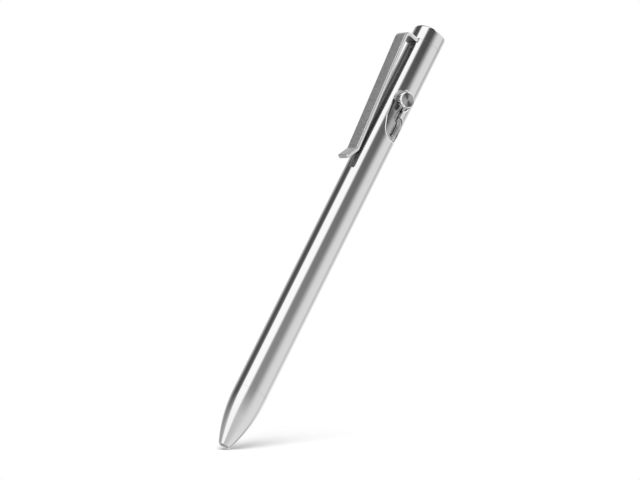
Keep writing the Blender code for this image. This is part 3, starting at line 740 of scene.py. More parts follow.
def between(tree, pattern, low, high):
    """The pattern's middle range brought between two numbers."""
    return add(tree, "ShaderNodeMapRange", {
        "Value": pattern, "From Min": GRAIN_LOW, "From Max": GRAIN_HIGH, "To Min": low,
        "To Max": high}).outputs[0]


def relief(tree, pattern, height, strength):
    """Normal that the pattern raises by up to this height."""
    return add(tree, "ShaderNodeBump", {"Height": pattern, "Distance": height,
                                        "Strength": strength}).outputs[0]


def grained(name, color, roughness, cells, metallic, darker, spread, height, strength):
    """Finish whose color, roughness and relief follow one noise."""
    material, tree, shader = new_finish(name)
    pattern = grain_pattern(tree, cells)
    shader.inputs["Metallic"].default_value = metallic
    tree.links.new(tone(tree, pattern, color, darker), shader.inputs["Base Color"])
    tree.links.new(between(tree, pattern, roughness * (1 - spread), roughness * (1 + spread)),
                   shader.inputs["Roughness"])
    tree.links.new(relief(tree, pattern, height, strength), shader.inputs["Normal"])
    return material


def metal(name, color, roughness, cells, darker=0.94, spread=0.3, height=0.000002,
          strength=0.15):
    """Metal with a grain."""
    return grained(name, color, roughness, cells, 1.0, darker, spread, height, strength)


def plain_stuff(name, color, roughness, cell, darker=0.85, spread=0.2, height=0.00001,
                strength=0.2):
    """Plastic, rubber, ink or grease with a fine mottle."""
    return grained(name, color, roughness, (cell, cell, cell), 0.0, darker, spread, height,
                   strength)


def polished(name, finishes, cells=(700.0, 2600.0, 2600.0)):
    """Polished steel with faint lengthwise streaks."""
    return metal(name, finishes.polished_color, finishes.polished_roughness, cells,
                 darker=0.97, spread=0.35, height=0.000001, strength=0.06)


def turned_face(name, color, roughness):
    """Turned steel with fine grooves and a painted sheen round the knob, by its own UV map."""
    material, tree, shader = new_finish(name)
    uv = add(tree, "ShaderNodeUVMap", uv_map="turning").outputs[0]
    parts = add(tree, "ShaderNodeSeparateXYZ", {"Vector": uv})
    rings = add(tree, "ShaderNodeTexNoise", {
        "W": sum_up(tree, "MULTIPLY", parts.outputs["X"], FACE_GROOVES), "Scale": 1.0,
        "Detail": 2.0}, noise_dimensions="1D")
    pattern = rings.outputs["Fac"]
    shader.inputs["Metallic"].default_value = 1.0
    shader.inputs["Anisotropic"].default_value = FACE_ANISOTROPY
    tree.links.new(add(tree, "ShaderNodeTangent", direction_type="UV_MAP",
                       uv_map="turning").outputs[0], shader.inputs["Tangent"])
    turn = sum_up(tree, "MULTIPLY", sum_up(tree, "SUBTRACT", parts.outputs["Y"], SHEEN_TURN),
                  2 * FULL_TURN)
    wave = sum_up(tree, "MULTIPLY_ADD", sum_up(tree, "COSINE", turn), 0.5, 0.5)
    shadow = sum_up(tree, "POWER", wave, SHEEN_SHARPNESS)
    sheen = sum_up(tree, "MULTIPLY_ADD", shadow, -SHEEN_DEPTH, 1.0)
    shaded = sum_up(tree, "MULTIPLY", sheen, between(tree, pattern, 0.9, 1.0))
    tree.links.new(tone(tree, shaded, color, 0.0), shader.inputs["Base Color"])
    tree.links.new(between(tree, pattern, roughness * 0.85, roughness * 1.15),
                   shader.inputs["Roughness"])
    tree.links.new(relief(tree, pattern, 0.000003, 0.15), shader.inputs["Normal"])
    return material


# Barrel


def barrel_section(sizes):
    """Closed section of the barrel, from the nose's seam to the tail and back by the bores."""
    radius = sizes.barrel_diameter / 2
    front = along(NOSE_SEAM_FROM_TAIL - NOSE_SEAM_HALF)
    rear = along(CAP_LENGTH + CAP_SEAM_HALF)
    thread_end = along(NOSE_SEAM_FROM_TAIL - HALF_SEAM - NOSE_SPIGOT_LENGTH - RUNNING_GAP)
    rim_floor = along(CAP_LENGTH + sizes.clip_thickness + 2 * SEAT_GAP)
    stud_hole = CAP_STUD_RADIUS + RUNNING_GAP
    rim = sizes.rim_round
    return rounded([
        (front, radius, rim), (rear, radius, rim), (rear, RIM_COUNTERBORE_RADIUS, 0.0),
        (rim_floor, RIM_COUNTERBORE_RADIUS, 0.0), (rim_floor, stud_hole, 0.0),
        (along(TAIL_WEB_END), stud_hole, 0.0), (along(TAIL_WEB_END), BORE_RADIUS, 0.0),
        (thread_end, BORE_RADIUS, 0.0), (thread_end, NOSE_THREAD_RADIUS, 0.0),
        (front, NOSE_THREAD_RADIUS, rim)], steps=4, closed=True)


def left_tangent(first, second):
    """Direction out from two circles' centers to the line that touches both at their left."""
    gap = Vector(second[:2]) - Vector(first[:2])
    along_share = (first[2] - second[2]) / gap.length
    ahead = gap.normalized()
    left = Vector((ahead.y, -ahead.x))
    normal = ahead * along_share + left * math.sqrt(1.0 - along_share ** 2)
    return math.atan2(normal.y, normal.x) % FULL_TURN


def pocket_outline(sizes, grow):
    """Pocket's edge as (place on X, arc on the barrel's surface), moved outwards by a length."""
    surface = sizes.barrel_diameter / 2
    knob = along(KNOB_FROM_TAIL)
    top = (knob, 0.0, POCKET_TOP_RADIUS + grow)
    middle = (knob + POCKET_MIDDLE_FROM_KNOB, POCKET_MIDDLE_ANGLE * surface,
              POCKET_MIDDLE_RADIUS + grow)
    bottom = (knob + POCKET_BOTTOM_FROM_KNOB, TURN_ANGLE * surface, POCKET_BOTTOM_RADIUS + grow)
    upper_turn = left_tangent(top, middle)
    lower_turn = left_tangent(middle, bottom)
    first_turn = math.asin(grow / top[2])
    last_turn = 6 * QUARTER + math.asin((bottom[1] - grow) / bottom[2])
    upper = arc_points(*top, first_turn, upper_turn, POCKET_STEPS)
    between_arcs = arc_points(*middle, upper_turn, lower_turn, POCKET_MIDDLE_STEPS)
    lower = arc_points(*bottom, lower_turn, last_turn, POCKET_STEPS)
    first, second, last = POCKET_LINE_STEPS
    outline = upper + line_points(upper[-1], between_arcs[0], first) + between_arcs
    outline += line_points(between_arcs[-1], lower[0], second) + lower
    return outline + line_points(lower[-1], upper[0], last)


def level_ring(sizes, grow, height):
    """Pocket's edge carried out from the axis to a plane at this height over it."""
    surface = sizes.barrel_diameter / 2
    middle = TURN_ANGLE / 2
    return [round_the_pen(x, arc / surface, height / math.cos(arc / surface - middle))
            for x, arc in pocket_outline(sizes, grow)]


def pocket_cutter(sizes):
    """Cutter of the pocket: chamfered at the top, filleted at the floor."""
    surface = sizes.barrel_diameter / 2
    floor = surface - sizes.pocket_depth
    chamfer = sizes.pocket_chamfer
    fillet = sizes.pocket_fillet
    levels = [(y, x) for x, y in arc_points(-fillet, floor + fillet, fillet,
                                            -POCKET_FILLET_SHARE * QUARTER, 0.0,
                                            POCKET_FILLET_STEPS)]
    depth = chamfer * CHAMFER_SLOPE
    levels += [(surface - depth, 0.0), (surface + depth, 2 * chamfer)]
    rings = [[round_the_pen(x, arc / surface, radius) for x, arc in pocket_outline(sizes, grow)]
             for radius, grow in levels]
    rings.insert(0, level_ring(sizes, levels[0][1], OVERRUN / 2))
    rings.append(level_ring(sizes, 2 * chamfer, 2 * surface))
    prism = lofted("pocket prism", rings)
    core_start = along(KNOB_FROM_TAIL) - 4 * OVERRUN - POCKET_TOP_RADIUS
    core_end = core_start + 8 * OVERRUN + 2 * POCKET_BOTTOM_FROM_KNOB
    core = turned("pocket core", [(core_end, 0.0), (core_end, floor), (core_start, floor),
                                  (core_start, 0.0)], 2 * sizes.small_segments, None)
    return cut_away("pocket cutter", prism, [core])


def slot_cutter(sizes):
    """J-shaped cutter for the knob's neck, its walls upright beside the neck's axis."""
    knob = along(KNOB_FROM_TAIL)
    locked = knob + LOCK_TRAVEL
    lowest = knob + FULL_TRAVEL
    half = SLOT_HALF_WIDTH

    def corner(x, angle, start, end):
        count = round(abs(end - start) / QUARTER) * SLOT_STEPS
        return [(px, angle, offset) for px, offset in arc_points(x, 0.0, half, start, end, count)]

    outline = corner(lowest, 0.0, 0.0, -QUARTER)
    outline += corner(knob, 0.0, -QUARTER, -2 * QUARTER)
    outline += corner(knob, TURN_ANGLE, -2 * QUARTER, -4 * QUARTER)
    outline += [(knob + half, 0.0, half), (locked - half, 0.0, half)]
    outline += corner(locked, TURN_ANGLE, 2 * QUARTER, QUARTER)
    outline += corner(lowest, TURN_ANGLE, QUARTER, 0.0)
    inner = BORE_RADIUS - RUNNING_GAP
    height = sizes.barrel_diameter / 2 + 3 * OVERRUN
    rings = [[round_the_pen(x, angle + math.asin(offset / inner), inner)
              for x, angle, offset in outline], []]
    for x, angle, offset in outline:
        lean = angle - TURN_ANGLE / 2
        rise = (height + offset * math.sin(lean)) / math.cos(lean)
        rings[1].append(round_the_pen(x, angle, rise)
                        + round_the_pen(0.0, angle + QUARTER, offset))
    return lofted("slot cutter", rings)


def clip_notch_cutter(sizes):
    """Block that opens the barrel's rim where the clip's tab passes in."""
    rim_depth = sizes.clip_thickness + 2 * SEAT_GAP
    top = sizes.barrel_diameter / 2 + OVERRUN
    half = sizes.clip_width / 2 + SEAT_GAP
    x0 = along(CAP_LENGTH) - rim_depth
    x1 = along(CAP_LENGTH) + rim_depth
    rings = []
    for height in (CLIP_TAB_INNER_REACH, top):
        rings.append([Vector((x0, -half, height)), Vector((x1, -half, height)),
                      Vector((x1, half, height)), Vector((x0, half, height))])
    cutter = lofted("clip notch cutter", rings)
    cutter.transform(Matrix.Rotation(CLIP_FROM_KNOB, 4, "X"))
    return cutter


def paint_milled_faces(mesh, matrix, sizes):
    """Milled finish on the pocket's floor, and painted shade or a painted highlight on its wall by
    the clip.
    """
    to_pen = matrix.inverted()
    surface = sizes.barrel_diameter / 2
    knob = along(KNOB_FROM_TAIL)
    low = knob - 2 * POCKET_TOP_RADIUS
    high = knob + POCKET_BOTTOM_FROM_KNOB + 2 * POCKET_BOTTOM_RADIUS
    floor = surface - sizes.pocket_depth
    places = [to_pen @ vertex.co for vertex in mesh.vertices]
    for polygon in mesh.polygons:
        spots = [places[index] for index in polygon.vertices]
        reach = [math.hypot(spot.y, spot.z) for spot in spots]
        inside = all(low < spot.x < high for spot in spots)
        under = max(reach) < surface - sizes.pocket_chamfer * CHAMFER_SLOPE / 2
        if inside and under and min(reach) > floor - WALL_TOLERANCE:
            beside = max(math.atan2(spot.y, spot.z) for spot in spots) < DARK_WALL_END
            if max(reach) < floor + CLASS_TOLERANCE or not beside:
                polygon.material_index = 1
            # Painted shade on the wall ahead of the knob, a painted highlight on it behind the
            # knob
            else:
                ahead = min(spot.x for spot in spots) > knob + DARK_WALL_START
                polygon.material_index = 2 if ahead else 3


def make_barrel(sizes, finishes):
    """Barrel turned from its section, less the pocket, the slot and the clip's notch."""
    steel = polished("polished barrel", finishes)
    milled = metal("milled pocket", finishes.milled_color, 0.3, (900.0, 9000.0, 9000.0),
                   darker=0.8, height=0.000004, strength=0.25)
    # Painted shade and a painted highlight for the pocket's left wall
    dark = metal("pocket wall painted shade", finishes.pocket_wall_shade, 0.3, (5000.0, 5000.0, 5000.0))
    pale = metal("pocket wall painted highlight", finishes.pocket_wall_highlight, 0.9, (5000.0, 5000.0, 5000.0))
    tube = turned("barrel tube", barrel_section(sizes), sizes.barrel_segments, steel, closed=True)
    mesh = cut_away("barrel", tube, [pocket_cutter(sizes), slot_cutter(sizes),
                                     clip_notch_cutter(sizes)])
    for finish in (milled, dark, pale):
        mesh.materials.append(finish)
    matrix = pen_matrix(sizes)
    mesh.transform(matrix)
    paint_milled_faces(mesh, matrix, sizes)
    shade(mesh)
    piece("finished_barrel", mesh, "barrel_body", ["barrel"])


# End cap


def make_end_cap(sizes, finishes):
    """Flush cap with a rounded end edge and a threaded stud."""
    steel = polished("polished cap", finishes)
    radius = sizes.barrel_diameter / 2
    stud_end = along(CAP_LENGTH + CAP_STUD_LENGTH)
    core = CAP_STUD_RADIUS - THREAD_DEPTH
    face = along(CAP_LENGTH)
    section = rounded([
        (stud_end, 0.0, 0.0), (stud_end, core, 2 * FINE_SEAM), (face, core, 0.0),
        (face, radius, sizes.rim_round), (along(0.0), radius, sizes.cap_edge_round),
        (along(0.0), 0.0, 0.0)], steps=14)
    body = turned("cap body", section, sizes.barrel_segments, steel)
    rim_end = CAP_LENGTH + sizes.clip_thickness + 2 * SEAT_GAP + THREAD_PITCH / 2
    length = CAP_STUD_LENGTH + CAP_LENGTH - rim_end - THREAD_PITCH / 2
    thread = coil("cap thread", along(rim_end), {
        "Turns": length / THREAD_PITCH, "Closed Turns": 0.0, "Coil Radius": core,
        "Wire Radius": THREAD_DEPTH, "Length": length, "Points in a Turn": 48, "Wire Sides": 6},
        steel)
    mesh = joined("end_cap", [body, thread])
    mesh.transform(pen_matrix(sizes))
    shade(mesh)
    piece("finished_cap", mesh, "barrel_body", ["end_cap"])


# Clip


def clip_path(sizes):
    """Middle line of the bent strip, as (place on X, distance from the pen's axis)."""
    half = sizes.clip_thickness / 2
    tab = along(CAP_LENGTH + SEAT_GAP + half)
    return rounded([
        (tab, CLIP_TAB_INNER_REACH, 0.0),
        (tab, CLIP_TOP_REACH - half, CLIP_OUTER_BEND - half),
        (along(CLIP_FOOT_FROM_TAIL), CLIP_FOOT_REACH - half, CLIP_FOOT_BEND),
        (along(CLIP_END_FROM_TAIL), CLIP_END_REACH - half, 0.0)], steps=CLIP_BEND_STEPS)


def strip_section(half_width, half_thickness, edge_round, inset):
    """Closed outline of the strip's section as (offset out from the path, offset across it)."""
    width = half_width - inset
    thickness = half_thickness - inset
    edge = max(edge_round - inset / 2, inset / 4)
    outline = []
    for side, rise, start in ((1, 1, 0), (-1, 1, 1), (-1, -1, 2), (1, -1, 3)):
        outline += arc_points(side * (thickness - edge), rise * (width - edge), edge,
                              start * QUARTER, (start + 1) * QUARTER, CLIP_EDGE_STEPS)
    return outline


def clip_stations(sizes):
    """Places along the strip, as (middle, way across its thickness, cut of width, inset).

    The cuts round the two corners at the free end, and the insets break the edges of both ends.
    """
    path = [Vector(point) for point in clip_path(sizes)]
    broken = sizes.clip_edge_round / 2
    corner = sizes.clip_corner_round
    last = len(path) - 1
    stations = []
    for index, point in enumerate(path):
        out = (path[index + 1] - point).normalized() if index < last else None
        into = (point - path[index - 1]).normalized() if index else out
        ahead = (into + (out or into)).normalized()
        side = Vector((-ahead.y, ahead.x)) / ahead.dot(into)
        if index == 0:
            stations += [(point, side, 0.0, broken), (point + ahead * broken, side, 0.0, 0.0)]
        elif index < last:
            stations.append((point, side, 0.0, 0.0))
    rounding = sizes.clip_end_round
    for along_corner, across_corner in arc_points(corner, corner, corner, 3 * QUARTER,
                                                  2 * QUARTER, CLIP_BEND_STEPS):
        short = max(0.0, rounding - along_corner)
        inset = rounding - math.sqrt(rounding ** 2 - short ** 2)
        stations.append((path[last] - ahead * along_corner, side, across_corner, inset))
    return stations


def paint_clip(mesh, outward, across):
    """Smoother finish on the strip's edges, and painted shade on the side that faces the barrel.
    """
    for polygon in mesh.polygons:
        if abs(polygon.normal.dot(across)) > CLIP_EDGE_FACING:
            polygon.material_index = 1
        elif polygon.normal.dot(outward) < min(polygon.normal.x, CLIP_UNDERSIDE_FACING):
            polygon.material_index = 2


def make_clip(sizes, finishes):
    """Strip lofted along its path, with rounded long edges and broken ends."""
    steel = metal("brushed clip", finishes.clip_color, 0.44, (9000.0, 500.0, 500.0),
                  darker=0.86, spread=0.25, height=0.000004, strength=0.2)
    edges = metal("clip edges", finishes.clip_color, 0.13, (900.0, 6000.0, 6000.0), darker=0.92)
    # Painted shade: a dark colour on the side of the strip that faces the barrel
    underside = metal("clip underside shade", finishes.underside_shade_color, 0.5, (9000.0, 500.0, 500.0))
    angle = -CLIP_FROM_KNOB
    outward = round_the_pen(0.0, angle, 1.0)
    across = round_the_pen(0.0, angle + QUARTER, 1.0)
    rings = []
    for middle, side, cut, inset in clip_stations(sizes):
        section = strip_section(sizes.clip_width / 2 - cut, sizes.clip_thickness / 2,
                                sizes.clip_edge_round, inset)
        spots = [(middle + side * rise, offset) for rise, offset in section]
        rings.append([Vector((spot.x, 0.0, 0.0)) + outward * spot.y + across * offset
                      for spot, offset in spots])
    mesh = lofted("pocket_clip", rings, steel)
    mesh.materials.append(edges)
    mesh.materials.append(underside)
    paint_clip(mesh, outward, across)
    mesh.transform(pen_matrix(sizes))
    shade(mesh, CLIP_SHARP_ANGLE)
    piece("finished_clip", mesh, "clip", ["pocket_clip"])


# Knob and carrier


def add_turning_map(mesh, matrix):
    """UV map of a turned piece: radius on U, with a share of its depth, and turn on V."""
    to_axis = matrix.inverted()
    layer = mesh.uv_layers.new(name="turning")
    places = [to_axis @ vertex.co for vertex in mesh.vertices]
    for polygon in mesh.polygons:
        turns = {}
        for loop in polygon.loop_indices:
            place = places[mesh.loops[loop].vertex_index]
            radius = math.hypot(place.y, place.z)
            if radius > WELD * 10:
                turns[loop] = math.atan2(place.y, place.z) / FULL_TURN
        high = max(turns.values()) if turns else 0.0
        turns = {loop: turn + (1.0 if high - turn > 0.5 else 0.0) for loop, turn in turns.items()}
        middle = sum(turns.values()) / len(turns) if turns else 0.0
        for loop in polygon.loop_indices:
            place = places[mesh.loops[loop].vertex_index]
            radius = math.hypot(place.y, place.z) + TURNING_MAP_DEPTH * place.x
            layer.data[loop].uv = (radius * TURNING_MAP_SCALE, turns.get(loop, middle))


def paint_knob(mesh):
    """Polished bevel and side on the knob's head, and painted shade on the flat under it."""
    for polygon in mesh.polygons:
        heights = [mesh.vertices[index].co.x for index in polygon.vertices]
        if max(abs(height - KNOB_UNDERSIDE_REACH) for height in heights) < CLASS_TOLERANCE:
            polygon.material_index = 2
        elif min(heights) < KNOB_FACE_REACH - CLASS_TOLERANCE:
            polygon.material_index = 1


def make_knob(sizes, finishes):
    """Turned knob: flat head, neck in the slot and stud in the carrier."""
    steel = turned_face("turned knob", finishes.knob_color, 0.24)
    rim = polished("polished knob edge", finishes, (3000.0, 3000.0, 3000.0))
    # Painted shade: a dark colour on the flat under the knob's head
    dark = metal("knob underside shade", finishes.underside_shade_color, 0.4, (3000.0, 3000.0, 3000.0))
    head = sizes.knob_diameter / 2
    bevel = sizes.knob_bevel
    foot = CARRIER_RADIUS - KNOB_STUD_DEPTH
    neck_foot = CARRIER_RADIUS + RUNNING_GAP
    section = rounded([
        (KNOB_FACE_REACH, 0.0, 0.0), (KNOB_FACE_REACH, head - bevel, 0.0),
        (KNOB_FACE_REACH - bevel, head, bevel / 3), (KNOB_UNDERSIDE_REACH, head, bevel / 3),
        (KNOB_UNDERSIDE_REACH, KNOB_NECK_RADIUS, 0.0),
        (neck_foot, KNOB_NECK_RADIUS, 0.0), (neck_foot, KNOB_STUD_RADIUS, 0.0),
        (foot, KNOB_STUD_RADIUS, 0.0), (foot, 0.0, 0.0)], steps=6)
    mesh = turned("bolt_knob", section, sizes.small_segments, steel)
    mesh.materials.append(rim)
    mesh.materials.append(dark)
    paint_knob(mesh)
    matrix = knob_matrix(sizes)
    mesh.transform(matrix)
    add_turning_map(mesh, matrix)
    shade(mesh)
    piece("finished_knob", mesh, "bolt", ["bolt_knob"])


def make_carrier(sizes, finishes):
    """Plunger with a cross hole for the knob's stud."""
    steel = metal("turned carrier", finishes.carrier_color, 0.24, (9000.0, 700.0, 700.0),
                  darker=0.8, height=0.000004, strength=0.2)
    rear = along(CARRIER_REAR)
    front = rear + CARRIER_LENGTH
    groove = rear + CARRIER_GROOVE_FROM_REAR
    groove_end = groove + CARRIER_GROOVE_WIDTH
    floor = CARRIER_RADIUS - CARRIER_GROOVE_DEPTH
    section = rounded([
        (front, 0.0, 0.0), (front, CARRIER_RADIUS, ROUND),
        (groove_end, CARRIER_RADIUS, TINY_ROUND), (groove_end, floor, TINY_ROUND),
        (groove, floor, TINY_ROUND), (groove, CARRIER_RADIUS, TINY_ROUND),
        (rear, CARRIER_RADIUS, ROUND), (rear, 0.0, 0.0)], steps=6)
    body = turned("carrier body", section, sizes.barrel_segments, steel)
    hole_radius = KNOB_STUD_RADIUS + SEAT_GAP
    hole = turned("knob hole", [
        (CARRIER_RADIUS + OVERRUN, 0.0), (CARRIER_RADIUS + OVERRUN, hole_radius),
        (CARRIER_RADIUS - KNOB_STUD_DEPTH - SEAT_GAP, hole_radius),
        (CARRIER_RADIUS - KNOB_STUD_DEPTH - SEAT_GAP, 0.0)], sizes.small_segments // 2, None)
    hole.transform(Matrix.Translation((along(KNOB_FROM_TAIL), 0.0, 0.0))
                   @ Matrix.Rotation(-QUARTER, 4, "Y"))
    mesh = cut_away("bolt_carrier", body, [hole])
    mesh.transform(pen_matrix(sizes))
    shade(mesh)
    piece("finished_carrier", mesh, "bolt", ["bolt_carrier"])


# Nose


def ogive(sizes, steps=40):
    """Outer side of the nose from the tip's rounding back to its straight part, a tangent arc."""
    radius = sizes.barrel_diameter / 2
    length = PEN_LENGTH - NOSE_SEAM_FROM_TAIL - NOSE_STRAIGHT_LENGTH
    drop = radius - NOSE_TIP_RADIUS
    arc_radius = (length ** 2 + drop ** 2) / (2 * drop)
    points = []
    for index in range(steps, 0, -1):
        reach = (length - ROUND) * index / steps
        x = along(PEN_LENGTH - length + reach)
        points.append((x, radius - arc_radius + math.sqrt(arc_radius ** 2 - reach ** 2)))
    return points


def make_nose(sizes, finishes):
    """Hollow nose with its ogive, spring seat, refill bore and threaded spigot."""
    steel = polished("polished nose", finishes)
    radius = sizes.barrel_diameter / 2
    seam = along(NOSE_SEAM_FROM_TAIL + NOSE_SEAM_HALF)
    spigot = NOSE_THREAD_RADIUS - RUNNING_GAP
    land = along(NOSE_SEAM_FROM_TAIL + HALF_SEAM - ORING_LAND)
    groove_rear = land - ORING_GROOVE
    thread_front = groove_rear - ORING_LAND
    spigot_end = along(NOSE_SEAM_FROM_TAIL + HALF_SEAM - NOSE_SPIGOT_LENGTH)
    spring_bore = (sizes.spring_mean_diameter + sizes.spring_wire) / 2 + SEAT_GAP
    refill_bore = REFILL_RADIUS + RUNNING_GAP
    tip = along(PEN_LENGTH)
    core = spigot - THREAD_DEPTH
    corners = [(tip, POINT_HOLE_RADIUS, TIP_ROUND), (tip, NOSE_TIP_RADIUS, TIP_ROUND)]
    corners += [(x, reach, 0.0) for x, reach in ogive(sizes)]
    corners += [
        (seam + sizes.rim_round, radius, 0.0), (seam, radius - sizes.rim_round, 0.0),
        (seam, spigot, 0.0), (land, spigot, FINE_SEAM), (land, spigot - ORING_CORD, FINE_SEAM),
        (groove_rear, spigot - ORING_CORD, FINE_SEAM), (groove_rear, spigot, FINE_SEAM),
        (thread_front, spigot, FINE_SEAM), (thread_front, core, FINE_SEAM),
        (spigot_end, core, 4 * FINE_SEAM), (spigot_end, refill_bore, FINE_SEAM),
        (along(PEN_LENGTH - REFILL_STOP_FROM_TIP), refill_bore, 0.0),
        (along(PEN_LENGTH - REFILL_STOP_FROM_TIP), spring_bore, 0.0),
        (along(PEN_LENGTH - SPRING_SEAT_FROM_TIP), spring_bore, 0.0),
        (along(PEN_LENGTH - SPRING_SEAT_FROM_TIP), POINT_HOLE_RADIUS, 0.0)]
    body = turned("nose body", rounded(corners, steps=5, closed=True), sizes.barrel_segments,
                  steel, closed=True)
    length = thread_front - spigot_end - THREAD_PITCH
    thread = coil("nose thread", spigot_end + THREAD_PITCH / 2, {
        "Turns": length / THREAD_PITCH, "Closed Turns": 0.0, "Coil Radius": core,
        "Wire Radius": THREAD_DEPTH, "Length": length, "Points in a Turn": 64, "Wire Sides": 6},
        steel)
    mesh = joined("nose_cone", [body, thread])
    # Painted light: the bore's mouth gets a pale matt colour so that it shows light
    mesh.materials.append(plain_stuff("bore painted light", finishes.bore_light_color, 0.7, 3000.0))
    for polygon in mesh.polygons:
        spots = [mesh.vertices[index].co for index in polygon.vertices]
        if max(math.hypot(spot.y, spot.z) for spot in spots) < POINT_HOLE_RADIUS + WALL_TOLERANCE:
            polygon.material_index = 1
    mesh.transform(pen_matrix(sizes))
    shade(mesh)
    piece("finished_nose", mesh, "nose", ["nose_cone"])


def make_nose_ring(sizes, finishes):
    """Rubber ring in the groove of the nose's spigot."""
    rubber = plain_stuff("ring rubber", finishes.rubber_color, 0.6, 9000.0)
    cord = ORING_CORD / 2
    center = along(NOSE_SEAM_FROM_TAIL + HALF_SEAM - ORING_LAND - ORING_GROOVE / 2)
    reach = NOSE_THREAD_RADIUS - RUNNING_GAP - cord + HALF_SEAM
    section = arc_points(center, reach, cord, 0.0, FULL_TURN, ORING_STEPS)[:-1]
    mesh = turned("nose_oring", section, sizes.small_segments, rubber, closed=True)
    mesh.transform(pen_matrix(sizes))
    shade(mesh)
    piece("finished_ring", mesh, "nose_ring", ["nose_oring"])


# Refill and spring


def refill_turned(sizes, name, corners, finish, node, closed=True):
    """Turned piece of the refill, from (x, radius, fillet) corners."""
    mesh = turned(name, rounded(corners, steps=5, closed=closed), sizes.small_segments, finish,
                  closed=closed)
    mesh.transform(pen_matrix(sizes))
    shade(mesh)
    piece(name, mesh, "refill", [node])


def make_refill(sizes, finishes):
    """Tube, plug, point and ball of the refill, and finishes for what is inside the tube."""
    steel = metal("drawn tube", finishes.tube_color, 0.22, (500.0, 5000.0, 5000.0))
    brass = metal("turned brass", finishes.brass_color, 0.2, (9000.0, 900.0, 900.0))
    carbide = metal("ball carbide", finishes.ball_color, 0.08, (9000.0, 9000.0, 9000.0))
    plastic = plain_stuff("plug plastic", finishes.plug_color, 0.45, 3000.0)
    shoulder = along(REFILL_SHOULDER)
    neck_front = shoulder + REFILL_NECK_LENGTH
    inner = REFILL_RADIUS - REFILL_WALL
    neck_inner = REFILL_NECK_RADIUS - REFILL_WALL
    tube_rear = along(REFILL_TAIL + PLUG_FLANGE)
    refill_turned(sizes, "finished_tube", [
        (neck_front, REFILL_NECK_RADIUS, FINE_SEAM), (shoulder, REFILL_NECK_RADIUS, ROUND),
        (shoulder, REFILL_RADIUS, ROUND), (tube_rear, REFILL_RADIUS, FINE_SEAM),
        (tube_rear, inner, FINE_SEAM), (shoulder - REFILL_WALL, inner, FINE_ROUND),
        (shoulder - REFILL_WALL, neck_inner, 0.0), (neck_front, neck_inner, FINE_SEAM)],
        steel, "refill_tube")
    tail = along(REFILL_TAIL)
    flange = tail + PLUG_FLANGE - SEAM_GAP
    refill_turned(sizes, "finished_plug", [
        (flange + PLUG_SPIGOT, inner - SEAM_GAP, ROUND), (flange, inner - SEAM_GAP, 0.0),
        (flange, REFILL_RADIUS, TINY_ROUND), (tail, REFILL_RADIUS, ROUND),
        (tail, PLUG_VENT_RADIUS, FINE_ROUND),
        (flange + PLUG_SPIGOT, PLUG_VENT_RADIUS, TINY_ROUND)],
        plastic, "refill_plug")
    shank_rear = neck_front + SEAM_GAP
    tip = along(REFILL_TIP) - BALL_RADIUS
    channel = POINT_CHANNEL_RADIUS
    socket = BALL_RADIUS + HALF_SEAM
    collar = neck_inner - SEAM_GAP
    refill_turned(sizes, "finished_point", [
        (tip, socket + POINT_SOCKET_LIP, LIP_ROUND),
        (tip - 2 * BALL_RADIUS, POINT_CONE_END, FINE_ROUND),
        (along(REFILL_TIP) - POINT_CONE_LENGTH, POINT_RADIUS, ROUND),
        (shank_rear, POINT_RADIUS, LIP_ROUND), (shank_rear - SEAM_GAP, collar, 0.0),
        (shank_rear - POINT_TAIL_LENGTH, collar, FINE_ROUND),
        (shank_rear - POINT_TAIL_LENGTH, channel, 0.0), (tip - 2 * BALL_RADIUS, channel, 0.0),
        (tip - BALL_RADIUS, socket, 0.0), (tip, socket, 0.0)], brass, "refill_point")
    arc = arc_points(tip, 0.0, BALL_RADIUS, 0.0, 2 * QUARTER, BALL_STEPS)
    ball = [(arc[0][0], 0.0, 0.0), *((x, radius, 0.0) for x, radius in arc[1:-1]),
            (arc[-1][0], 0.0, 0.0)]
    refill_turned(sizes, "finished_ball", ball, carbide, "refill_ball",
                  closed=False)
    dress_node("refill_ink", plain_stuff("ink", finishes.ink_color, 0.2, 2000.0))
    dress_node("refill_follower", plain_stuff("follower grease", finishes.grease_color, 0.3,
                                              2000.0))


def dress_node(name, finish):
    """Finish on a node that keeps its own solid."""
    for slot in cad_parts[name].material_slots:
        slot.material = finish


def make_spring(sizes, finishes):
    """Return spring with closed ends, between the refill's shoulder and the nose's seat."""
    wire = metal("spring wire", finishes.tube_color, 0.25, (4000.0, 4000.0, 4000.0))
    radius = sizes.spring_wire / 2
    rear = along(REFILL_SHOULDER) + SEAT_GAP + radius
    front = along(PEN_LENGTH - SPRING_SEAT_FROM_TIP) - SEAT_GAP - radius
    mesh = coil("return_spring", rear, {
        "Turns": sizes.spring_turns, "Closed Turns": 1.0,
        "Coil Radius": sizes.spring_mean_diameter / 2, "Wire Radius": radius,
        "Length": front - rear, "Points in a Turn": 40, "Wire Sides": 10}, wire)
    matrix = pen_matrix(sizes)
    mesh.transform(matrix)
    shade(mesh)
    spring = piece("finished_spring", mesh, "refill", ["return_spring"])
    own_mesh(spring)


# Studio

